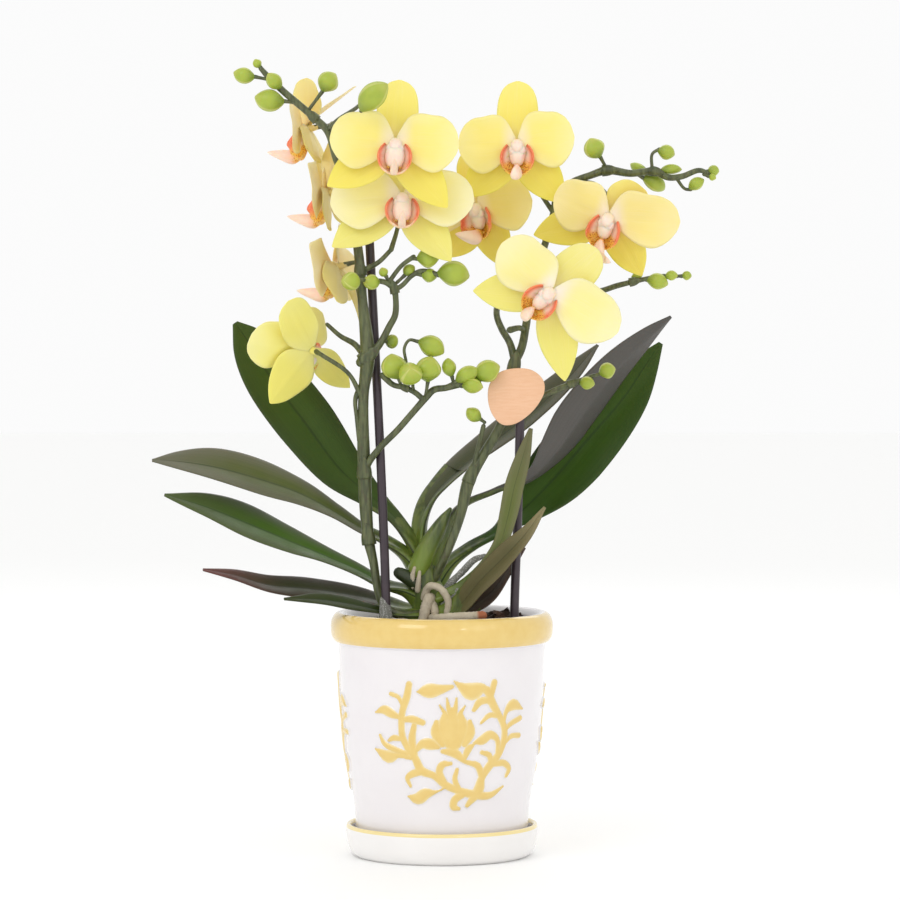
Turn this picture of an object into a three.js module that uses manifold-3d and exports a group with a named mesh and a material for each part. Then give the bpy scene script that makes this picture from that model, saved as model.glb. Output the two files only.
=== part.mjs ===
// Miniature moth orchid with two flower spikes in a glazed pot on its saucer.
// Millimetres, +Z up. The origin is on the floor under the pot's axis and +X is to the viewer's right.
import * as THREE from 'three';
import { mergeVertices } from 'three/addons/utils/BufferGeometryUtils.js';
import Module from 'manifold-3d';

const wasm = await Module();
wasm.setup();

// ---------------------------------------------------------------- sizes
const EYE = new THREE.Vector3(4, -2050, 280); // where the plant was looked at from
const SEAT = 0.3; // gap that pieces which touch keep
const RING = 32; // sides of the pot and the saucer
const BASE_Z = 4.3; // underside of the pot, on the saucer's floor
const DRAIN_R = 6;
const CHIPS = 8; // bark chips that stand out of the mix
const FLOOR_TOP = 8.5; // inside of the pot's floor
const MIX_TOP = 111.5; // general level of the growing mix
const WALL = [ // outer radius and height of the pot's wall
  [41.2, BASE_Z], [42.2, 5.4], [45.1, 36], [48.8, 65], [51.2, 105.6],
];
const RIM = [ // rolled rim, from the wall round to the inside
  [53.6, 107], [55, 112.4], [54.3, 117.4], [51.4, 120.3], [48.6, 119.7], [47, 116.5],
];
const INSIDE = [[45.6, 80], [43, 40], [38, FLOOR_TOP]];
const MIX_SIDE = [[37.4, FLOOR_TOP + 0.3], [42.4, 40], [45, 80], [45.9, 104]]; // the mix inside the pot
const SAUCER = [ // half section
  [0, 0], [42.4, 0], [45.2, 2.4], [46.9, 8], [47.4, 14], [46.4, 15.9], [45, 15.2], [44.3, 8], [42.7, 4], [0, 4],
];
const WREATHS = 3;
const WREATH_TURN = 0.05; // radians that the front wreath sits to the right
const RELIEF = 0.9; // height of the ornament
const SUNK = 0.9; // depth of its root in the wall
const OUTLINE_STEP = 1; // detail of its outline
const STAKE_R = 2.2;
const STAKE_FOOT = 45; // height of a stake's buried end
const BLADE = 1.3; // thickness of a leaf
const PETAL = 0.8; // thickness of a petal

const COLOURS = {
  glaze: ['#ede9ea', 0.15], mix: '#33241c', crown: '#6f8a3a', leaf: '#2f5a1e', leafBack: '#6d6a5e',
  stem: '#5a6b3c', stake: '#3a2d35', petal: '#f6e98f', tag: '#efc3a0', saucer: '#f0ecea',
};

// ---------------------------------------------------------------- helpers
const vec = (x, y, z) => new THREE.Vector3(x, y, z);

// A point that is seen at (x, z) in the pot's middle plane, moved along the line of sight to depth y.
function seen([x, z, y = 0]) {
  const reach = (y - EYE.y) / -EYE.y;
  return vec(EYE.x + (x - EYE.x) * reach, y, EYE.z + (z - EYE.z) * reach);
}

function solid(points, faces) {
  const vertProperties = new Float32Array(points.length * 3);
  points.forEach((p, i) => p.toArray(vertProperties, i * 3));
  const build = (list) => new wasm.Manifold(new wasm.Mesh({
    numProp: 3, vertProperties, triVerts: Uint32Array.from(list.flat()),
  }));
  const first = build(faces);
  return first.volume() < 0 ? build(faces.map(([a, b, c]) => [a, c, b])) : first;
}

const joined = (list) => wasm.Manifold.union(list);

// A closed three.js geometry as a solid.
function closed(geometry) {
  geometry.deleteAttribute('normal');
  geometry.deleteAttribute('uv');
  const merged = mergeVertices(geometry, 1e-4);
  const at = merged.attributes.position;
  const points = Array.from({ length: at.count }, (_, i) => vec(at.getX(i), at.getY(i), at.getZ(i)));
  const faces = [];
  for (let i = 0; i < merged.index.count; i += 3) {
    const [a, b, c] = [0, 1, 2].map((k) => merged.index.getX(i + k));
    if (a !== b && b !== c && c !== a) faces.push([a, b, c]);
  }
  return solid(points, faces);
}

// A body of revolution from a half section whose ends meet or lie on the axis.
function turned(section) {
  const points = section.map(([r, z]) => new THREE.Vector2(r, z));
  return closed(new THREE.LatheGeometry(points, RING).rotateX(Math.PI / 2));
}

// Points and radii along a smooth line through the given knots.
function smooth(points, radii, steps) {
  const curve = new THREE.CatmullRomCurve3(points, false, 'centripetal');
  const last = radii.length - 1;
  return Array.from({ length: steps + 1 }, (_, i) => {
    const t = i / steps;
    const at = t * last;
    const low = Math.min(Math.floor(at), last - 1);
    return { p: curve.getPoint(t), t, r: radii[low] + (radii[low + 1] - radii[low]) * (at - low) };
  });
}

// Faces of a closed body swept through rings of the same number of points.
function swept(rings, sides) {
  const faces = [];
  for (let i = 0; i < rings - 1; i += 1) {
    for (let k = 0; k < sides; k += 1) {
      const a = i * sides + k;
      const b = i * sides + ((k + 1) % sides);
      faces.push([a, b, b + sides], [a, b + sides, a + sides]);
    }
  }
  const end = (rings - 1) * sides;
  for (let k = 1; k < sides - 1; k += 1) {
    faces.push([0, k + 1, k], [end, end + k, end + k + 1]);
  }
  return faces;
}

function tube(points, radii, { sides = 6, steps = points.length - 1, grow = 0, flat = 1 } = {}) {
  const line = smooth(points, radii, steps);
  const verts = [];
  let side = null;
  line.forEach(({ p, r }, i) => {
    const ahead = line[Math.min(i + 1, steps)].p.clone().sub(line[Math.max(i - 1, 0)].p).normalize();
    if (!side) {
      side = (Math.abs(ahead.y) < 0.9 ? vec(0, 1, 0) : vec(1, 0, 0));
    }
    side = side.clone().addScaledVector(ahead, -side.dot(ahead)).normalize();
    const up = ahead.clone().cross(side);
    for (let k = 0; k < sides; k += 1) {
      const a = (2 * Math.PI * k) / sides;
      verts.push(p.clone().addScaledVector(side, Math.cos(a) * (r * flat + grow))
        .addScaledVector(up, Math.sin(a) * (r + grow)));
    }
  });
  return solid(verts, swept(steps + 1, sides));
}

// An egg from its base to its tip.
function egg(base, tip, width, { sides = 6, grow = 0 } = {}) {
  const axis = tip.clone().sub(base);
  const line = [0, 0.25, 0.7, 1].map((t) => base.clone().addScaledVector(axis, t));
  return tube(line, [width * 0.12, width * 0.44, width * 0.4, width * 0.06], { sides, grow });
}

// A bud with its pedicel, swept as one body from the stem to the tip.
function stalkedBud(start, base, tip, width, { sides = 6, grow = 0 } = {}) {
  const axis = tip.clone().sub(base);
  const along = (t) => base.clone().addScaledVector(axis, t);
  const line = [start, along(0), along(0.22), along(0.66), along(1)];
  const radii = [0.9, 0.9, width * 0.44, width * 0.44, 0.4];
  const verts = [];
  line.forEach((p, i) => {
    const ahead = (i ? axis : base.clone().sub(start)).clone().normalize();
    const side = vec(0, 1, 0).addScaledVector(ahead, -ahead.y).normalize();
    const up = ahead.clone().cross(side);
    for (let k = 0; k < sides; k += 1) {
      const a = (2 * Math.PI * k) / sides;
      verts.push(p.clone().addScaledVector(side, Math.cos(a) * (radii[i] + grow))
        .addScaledVector(up, Math.sin(a) * (radii[i] + grow)));
    }
  });
  return solid(verts, swept(line.length, sides));
}

// A thin closed blade about a grid of middle points, split into triangles alike on both faces.
function sheet(grid, thick) {
  const rows = grid.length;
  const cols = grid[0].length;
  const normal = (i, j) => {
    const along = grid[Math.min(i + 1, rows - 1)][j].clone().sub(grid[Math.max(i - 1, 0)][j]);
    const across = grid[i][Math.min(j + 1, cols - 1)].clone().sub(grid[i][Math.max(j - 1, 0)]);
    return across.cross(along).normalize();
  };
  const verts = [];
  [1, -1].forEach((face) => {
    grid.forEach((row, i) => row.forEach((p, j) => {
      verts.push(p.clone().addScaledVector(normal(i, j), (face * thick(i / (rows - 1))) / 2));
    }));
  });
  const under = rows * cols;
  const id = (i, j) => i * cols + j;
  const faces = [];
  for (let i = 0; i < rows - 1; i += 1) {
    for (let j = 0; j < cols - 1; j += 1) {
      const [a, b, c, d] = [id(i, j), id(i, j + 1), id(i + 1, j + 1), id(i + 1, j)];
      faces.push([a, b, c], [a, c, d], [a + under, c + under, b + under], [a + under, d + under, c + under]);
    }
  }
  const edge = [];
  for (let j = 0; j < cols - 1; j += 1) edge.push(id(0, j));
  for (let i = 0; i < rows - 1; i += 1) edge.push(id(i, cols - 1));
  for (let j = cols - 1; j > 0; j -= 1) edge.push(id(rows - 1, j));
  for (let i = rows - 1; i > 0; i -= 1) edge.push(id(i, 0));
  edge.forEach((a, k) => {
    const b = edge[(k + 1) % edge.length];
    faces.push([b, a, a + under], [b, a + under, b + under]);
  });
  return solid(verts, faces);
}

function drawn(seed) { // repeatable random numbers from 0 to 1
  let state = seed;
  return () => {
    state = (state * 1664525 + 1013904223) % 4294967296;
    return state / 4294967296;
  };
}

const group = new THREE.Group();

// The largest body of a solid becomes a named node with its own material.
function add(name, shape, [colour, roughness = 0.55]) {
  const whole = shape.simplify(0.004);
  const bodies = whole.decompose().sort((a, b) => b.volume() - a.volume());
  const mesh = bodies[0].getMesh();
  const geometry = new THREE.BufferGeometry();
  geometry.setAttribute('position', new THREE.BufferAttribute(Float32Array.from(mesh.vertProperties), 3));
  geometry.setIndex(new THREE.BufferAttribute(Uint32Array.from(mesh.triVerts), 1));
  geometry.computeVertexNormals();
  const node = new THREE.Mesh(geometry, new THREE.MeshStandardMaterial({ color: colour, roughness }));
  node.name = name;
  group.add(node);
}

// ---------------------------------------------------------------- pot, saucer and ornament
function wallRadius(z) {
  const above = WALL.findIndex(([, height]) => height >= z);
  const [r0, z0] = WALL[Math.max(above - 1, 0)];
  const [r1, z1] = WALL[Math.max(above, 1)];
  return r0 + ((r1 - r0) * (z - z0)) / (z1 - z0);
}

// One ribbon of the ornament on the wall laid flat, as a bar of the ornament's full thickness.
function ribbon(stations) {
  const last = stations.length - 1;
  const flat = stations.map(([x, z, w]) => [wallRadius(z) * Math.asin(x / wallRadius(z)), z, w]);
  const verts = flat.flatMap(([s, z, w], i) => {
    const [s0, z0] = flat[Math.max(i - 1, 0)];
    const [s1, z1] = flat[Math.min(i + 1, last)];
    const reach = w / 2 / Math.hypot(s1 - s0, z1 - z0);
    const [ds, dz] = [(z1 - z0) * reach, (s1 - s0) * reach];
    const left = (depth) => vec(s - ds, z + dz, depth);
    const right = (depth) => vec(s + ds, z - dz, depth);
    return [left(0), right(0), right(RELIEF + SUNK), left(RELIEF + SUNK)];
  });
  return solid(verts, swept(stations.length, 4));
}

// One wreath: the ribbons joined on the flat, and their points then bent round the wall.
function wreath(turn) {
  const flat = joined([...SCROLLS, ...FLOWER].map(ribbon)).simplify(OUTLINE_STEP).getMesh();
  const points = [];
  for (let i = 0; i < flat.vertProperties.length; i += flat.numProp) {
    const [s, z, depth] = flat.vertProperties.slice(i, i + 3);
    const r = wallRadius(z) - SUNK + depth;
    const a = s / wallRadius(z) + turn;
    points.push(vec(r * Math.sin(a), -r * Math.cos(a), z));
  }
  const faces = [];
  for (let i = 0; i < flat.triVerts.length; i += 3) faces.push([...flat.triVerts.slice(i, i + 3)]);
  return solid(points, faces);
}

const SCROLLS = [ // each ridge of one wreath: sideways, height and width at its stations
  [[-18, 89, 3], [-19, 83, 3.5], [-21, 76, 3.2], [-21.5, 69, 3.2], [-21, 63.5, 3.2], [-18.5, 58, 3.2],
    [-15, 53, 3.5], [-12, 47, 4], [-6, 44.5, 3.2], [-0.5, 40, 3.5], [6, 37, 3.5], [14, 34.5, 4.2]],
  [[19.5, 86, 3.5], [22.5, 78.5, 4], [25.5, 73, 3.2], [28, 67, 3.5], [28, 61.5, 3.5], [25.5, 54.5, 3.5],
    [21, 49, 4], [17, 43, 3.5], [15.5, 37, 5], [10, 29.5, 2]],
  [[14, 34.5, 4], [21, 34, 3.2], [27.5, 38, 1]],
  [[-22, 72.5, 1.8], [-26.5, 74.5, 4.2], [-29.5, 76, 4.2], [-33.5, 74.5, 0.8]],
  [[-21.5, 71.5, 2.1], [-16.5, 72, 3.5], [-11.5, 70.5, 2.8]],
  [[-18.5, 55, 2.1], [-25, 57, 2.8], [-29.5, 59.5, 2.5], [-31.5, 63.5, 1.4]],
  [[-17, 53, 2.1], [-23, 54, 2.5], [-27.5, 53, 5.6], [-33.5, 56.5, 1]],
  [[-15.5, 55, 3.5], [-16.5, 62.5, 3.5], [-15.5, 69, 2.5]],
  [[-15, 56, 1.4], [-11.5, 60, 4], [-8, 60, 5.2], [-4, 58.5, 1.8]],
  [[-10.5, 46.5, 2.8], [-15.5, 45.5, 3.5], [-18.5, 43, 2.5], [-17, 39, 1.4]],
  [[-1, 41, 2.8], [-3.5, 46.5, 3.2], [-2, 50, 3.2], [2, 50.5, 1.8]],
  [[0, 39, 0.8], [-5, 36.5, 1.4], [-10, 35.5, 5], [-13.5, 33, 5.2], [-18, 34, 1]],
  [[8.5, 35.5, 3.2], [4, 32.5, 3.5], [3.5, 29, 3.2], [6, 28, 1.8]],
  [[20.5, 80.5, 3.2], [23, 89.5, 3.2]],
  [[21, 81, 2.8], [16, 80.5, 3.5], [13, 76.5, 2.1]],
  [[27.5, 68.5, 1.8], [29, 75, 2.5], [32.5, 78, 5.2], [37, 75.5, 1.1]],
  [[28.5, 59.5, 1.4], [31.5, 62.5, 2.5], [35.5, 62.5, 2.5]],
  [[24.5, 54.5, 1.8], [24.5, 61.5, 2.8], [21, 64, 4], [17, 61.5, 4.2], [13, 60.5, 1]],
  [[22, 49.5, 2.8], [28, 49.5, 3.2], [30.5, 46.5, 2.8], [29, 43, 1.8]],
  [[17, 43, 2.8], [15, 49, 3.2], [8.5, 51.5, 2.1], [4, 55.5, 4.2], [-2, 56.5, 2.1]],
  [[-14, 85.5, 0.8], [-8.5, 86, 6.4], [-4.5, 86.5, 5], [2.5, 88, 1.8]],
  [[3.5, 90.5, 0.8], [8.5, 87, 5], [12, 85.5, 7.8], [17, 87, 4.2], [20.5, 84, 2.8]],
];
const FLOWER = [ // the wreath's middle flower
  [[-5.5, 70, 2], [-3, 66, 11], [-1, 61, 6]],
  [[4, 80.5, 2], [4, 77, 5.5], [4, 68, 13], [5, 60, 10]],
  [[12, 68.5, 1.8], [10, 66, 8], [8.5, 61, 4]],
];

function pot() {
  const pieces = [turned([...WALL, ...RIM, ...INSIDE, [DRAIN_R, FLOOR_TOP], [DRAIN_R, BASE_Z], WALL[0]])];
  for (let i = 0; i < WREATHS; i += 1) {
    pieces.push(wreath(WREATH_TURN + (2 * Math.PI * i) / WREATHS));
  }
  return joined(pieces);
}

const saucer = () => turned(SAUCER);

// ---------------------------------------------------------------- crown and roots
const CORE = [[-8, 108, 0, 6.5], [-7.5, 120, 0, 7], [-8, 131, 0, 8.5], [-9, 142, 0, 7.8], [-10, 150, 0, 4.5]];
const SHEATHS = [ // thick leaf bases and the cut stub: seen x, z, depth and radius
  [[-9, 138, 2, 5.5], [-14, 152, 3, 4.6], [-18, 161, 4, 3.6]],
  [[-9, 134, 0, 5.5], [-15, 146, 0, 4.4], [-20, 150, 0, 3.4]],
  [[-8, 124, 0, 5.5], [-15, 129, -1, 4.4], [-21, 131, -1, 3.4]],
  [[-6, 138, 1, 5.5], [-2, 155, 1, 4.8], [2, 165, 2, 3.6]],
  [[-6, 128, 3, 5.5], [3, 143, 5, 4.6], [9, 150, 6, 3.4]],
  [[-8, 142, 3, 5], [-10, 158, 5, 4.4], [-9, 166, 6, 3.4]],
  [[-6, 116, -3, 5], [4, 118, -5, 4.6], [10, 123, -6, 3.4]],
  [[-10, 133, -3, 5], [-19, 139, -5, 3.6], [-24, 142, -6, 3]],
  [[-8, 115, -2, 5], [-15, 117, -3, 4.2], [-20, 119, -4, 3.2]],
];
const ROOTS = [ // seen x, z, depth and radius
  [[-9, 127, -6, 1.9], [-6, 133, -11, 1.8], [-1, 132, -13, 1.8], [3, 126, -14, 1.8], [2.5, 119, -14, 1.7],
    [0, 110, -13, 1.5]],
  [[-6, 124, -5, 3], [-6, 127, -9, 2.9], [-8, 122, -11, 2.7], [-9.5, 115, -12, 2.4], [-11, 107, -12, 1.6]],
  [[-6, 126, -8, 2.2], [-3.5, 121, -11, 2.1], [-4, 113, -12, 1.8], [-4, 107, -12, 1.3]],
  [[-3, 124, -2, 2], [3, 133, -6, 1.8], [10, 140, -8, 1.7], [16, 146, -9, 1.6], [21, 148, -10, 1.1]],
  [[-2, 121, -6, 2.2], [4, 126, -9, 1.9], [8, 131, -10, 1.4]],
  [[-12, 118, -4, 2.6], [-19, 117, -10, 2.2], [-23, 112, -12, 1.8], [-24, 106, -12, 1.4]],
  [[-5, 118, 4, 3], [2, 120, 10, 2.6], [8, 115, 15, 2.2], [12, 106, 17, 1.6]],
  [[-5, 117, -11, 2.2], [-2, 117, -23, 2.2], [5, 117.5, -28, 2.3], [13, 118, -29, 2.2], [20, 118.5, -29, 2.2]],
];

function strand(knots, options) {
  return tube(knots.map(seen), knots.map((knot) => knot[3]), options);
}

function crown(grow = 0) {
  const pieces = [strand(CORE, { sides: 8, grow })];
  SHEATHS.forEach((knots) => pieces.push(strand(knots, { sides: 5, grow, flat: 1.15 })));
  ROOTS.forEach((knots) => pieces.push(strand(knots, { sides: 4, grow })));
  return joined(pieces);
}

// ---------------------------------------------------------------- leaves
// knots: seen x, z, depth and full width. up: direction of the upper face at the base and at the tip.
const LEAVES = {
  leaf_left_high: { cols: 4, fold: 0.22, steps: 8, up: [[0.55, -0.5, 0.7], [0.3, -0.93, 0.2]],
    knots: [[-8, 140, 2, 9], [-14, 153, 3, 8.5], [-23, 166, 5, 9], [-34, 176, 8, 14], [-50, 190, 14, 25],
      [-68, 214, 20, 31], [-86, 238, 24, 28], [-96, 254, 25, 18], [-102, 263, 24, 3]] },
  leaf_left_upper: { cols: 2, fold: 0.3, steps: 8, up: [[0.35, -0.35, 0.87], [0.1, -0.55, 0.83]],
    knots: [[-9, 134, 0, 9], [-17, 147, 0, 9], [-28, 155, 2, 9.5], [-40, 161, 3, 10], [-53, 169, 3, 13],
      [-70, 178, 1, 21], [-90, 185, -3, 28], [-112, 191, -8, 26], [-130, 194, -12, 15], [-143, 195, -15, 2]] },
  leaf_left_lower: { cols: 2, fold: 0.3, steps: 8, up: [[0.2, -0.3, 0.93], [0.12, -0.55, 0.83]],
    knots: [[-8, 124, 0, 9], [-17, 130, -1, 9], [-28, 133, 2, 10], [-41, 140, 2, 11], [-57, 147, 0, 14],
      [-74, 154, -4, 21], [-98, 164, -10, 27], [-118, 172, -15, 18], [-137, 178, -19, 2]] },
  leaf_left_reddish: { cols: 2, fold: 0.3, steps: 8, up: [[0.05, -0.25, 0.96], [0.05, -0.55, 0.83]],
    knots: [[-9, 118, -1, 9], [-20, 121, 2, 11], [-31, 125, 4, 13], [-48, 128.5, 4, 16], [-66, 131, 0, 17],
      [-86, 133, -6, 14], [-103, 138, -12, 9], [-118, 141, -17, 2]] },
  leaf_left_small: { cols: 2, fold: 0.35, steps: 6, up: [[0.05, -0.3, 0.95], [0.05, -0.5, 0.86]],
    knots: [[-9, 117, -5, 7], [-20, 118.5, -9, 8], [-34, 121, -15, 9], [-48, 124, -20, 11],
      [-63, 126, -25, 9], [-78, 126.5, -29, 1.8]] },
  leaf_right_purple: { cols: 2, fold: 0.3, steps: 8, up: [[-0.5, -0.3, 0.8], [-0.55, 0.65, 0.5]],
    knots: [[-6, 140, 1, 9], [-1, 156, 1, 9], [9, 172, 3, 9], [26, 179.5, 5, 9], [43, 186, 7, 13],
      [56, 199, 9, 25], [70, 219, 11, 29], [87, 241, 13, 23], [102, 256, 14, 13], [113, 266, 14, 2]] },
  leaf_right_bright: { cols: 4, fold: 0.18, steps: 8, up: [[-0.5, -0.35, 0.8], [-0.35, -0.9, 0.3]],
    knots: [[-5, 129, 3, 9], [3, 143, 5, 9], [14, 152, 8, 8], [28, 160, 14, 9], [40, 170, 22, 22],
      [54, 184, 27, 34], [72, 205, 30, 36], [90, 226, 32, 27], [100, 241, 33, 16], [108, 253, 33, 2.5]] },
  leaf_right_folded: { cols: 2, fold: 0.45, steps: 8, up: [[-0.6, -0.3, 0.7], [-0.55, -0.55, 0.6]],
    knots: [[-8, 144, 3, 8], [-10, 160, 6, 9], [-5, 175, 12, 14], [8, 189, 18, 20], [24, 202, 24, 23],
      [41, 215, 29, 23], [56, 228, 33, 20], [68, 241, 36, 13], [77, 252, 38, 2]] },
  leaf_right_upright: { cols: 2, fold: 0.3, steps: 7, up: [[-0.5, -0.75, 0.35], [-0.35, -0.9, 0.15]],
    knots: [[-3, 126, -6, 6], [9, 132, -9, 6], [21, 142, -17, 7], [29, 154, -21, 7.5], [33, 168, -22, 9.5],
      [36, 182, -22, 10], [40, 196, -21, 8], [44, 211, -20, 2]] },
  leaf_right_olive: { cols: 2, fold: 0.25, steps: 6, up: [[-0.5, -0.7, 0.5], [-0.55, -0.7, 0.45]],
    knots: [[-4, 117, -7, 8], [8, 122, -16, 13], [19, 135, -24, 15], [31, 147, -30, 14], [42, 159, -33, 9],
      [51, 172, -35, 1.8]] },
  leaf_right_low: { cols: 2, fold: 0.25, steps: 5, up: [[-0.5, -0.6, 0.6], [-0.6, -0.6, 0.5]],
    knots: [[-2, 118, -2, 8], [13, 122, -7, 11], [24, 129, -10, 12], [33, 141, -9, 8], [41, 152, -8, 1.8]] },
};

const PURPLISH = ['leaf_right_purple', 'leaf_right_low'];

function leaf({ knots, up, cols, fold, steps }) {
  const line = smooth(knots.map(seen), knots.map((knot) => knot[3]), steps);
  const grid = line.map(({ p, r, t }, i) => {
    const ahead = line[Math.min(i + 1, steps)].p.clone().sub(line[Math.max(i - 1, 0)].p).normalize();
    const face = vec(...up[0]).lerp(vec(...up[1]), Math.min(1, t * 1.6));
    face.addScaledVector(ahead, -face.dot(ahead)).normalize();
    const across = ahead.clone().cross(face);
    return Array.from({ length: cols + 1 }, (_, j) => {
      const v = (2 * j) / cols - 1;
      const raised = Math.abs(v) - 0.35 * v * v;
      return p.clone().addScaledVector(across, (v * r) / 2).addScaledVector(face, (raised * r * fold) / 2);
    });
  });
  return sheet(grid, (t) => BLADE + 1.4 * Math.max(0, 1 - t * 3));
}

// ---------------------------------------------------------------- stakes
const STAKES = {
  stake_left: [[-27.5, 119, -17.5], [-30, 190, -14], [-33.5, 262, -10], [-36, 311, -6.5]],
  stake_right: [[35.8, 118, -14], [37.5, 170, -14], [38.8, 227, -14]],
};

function stake(knots, grow = 0) {
  const line = knots.map(seen);
  line.unshift(vec(line[0].x, line[0].y, STAKE_FOOT));
  return tube(line, line.map(() => STAKE_R), { sides: 8, grow });
}

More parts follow.
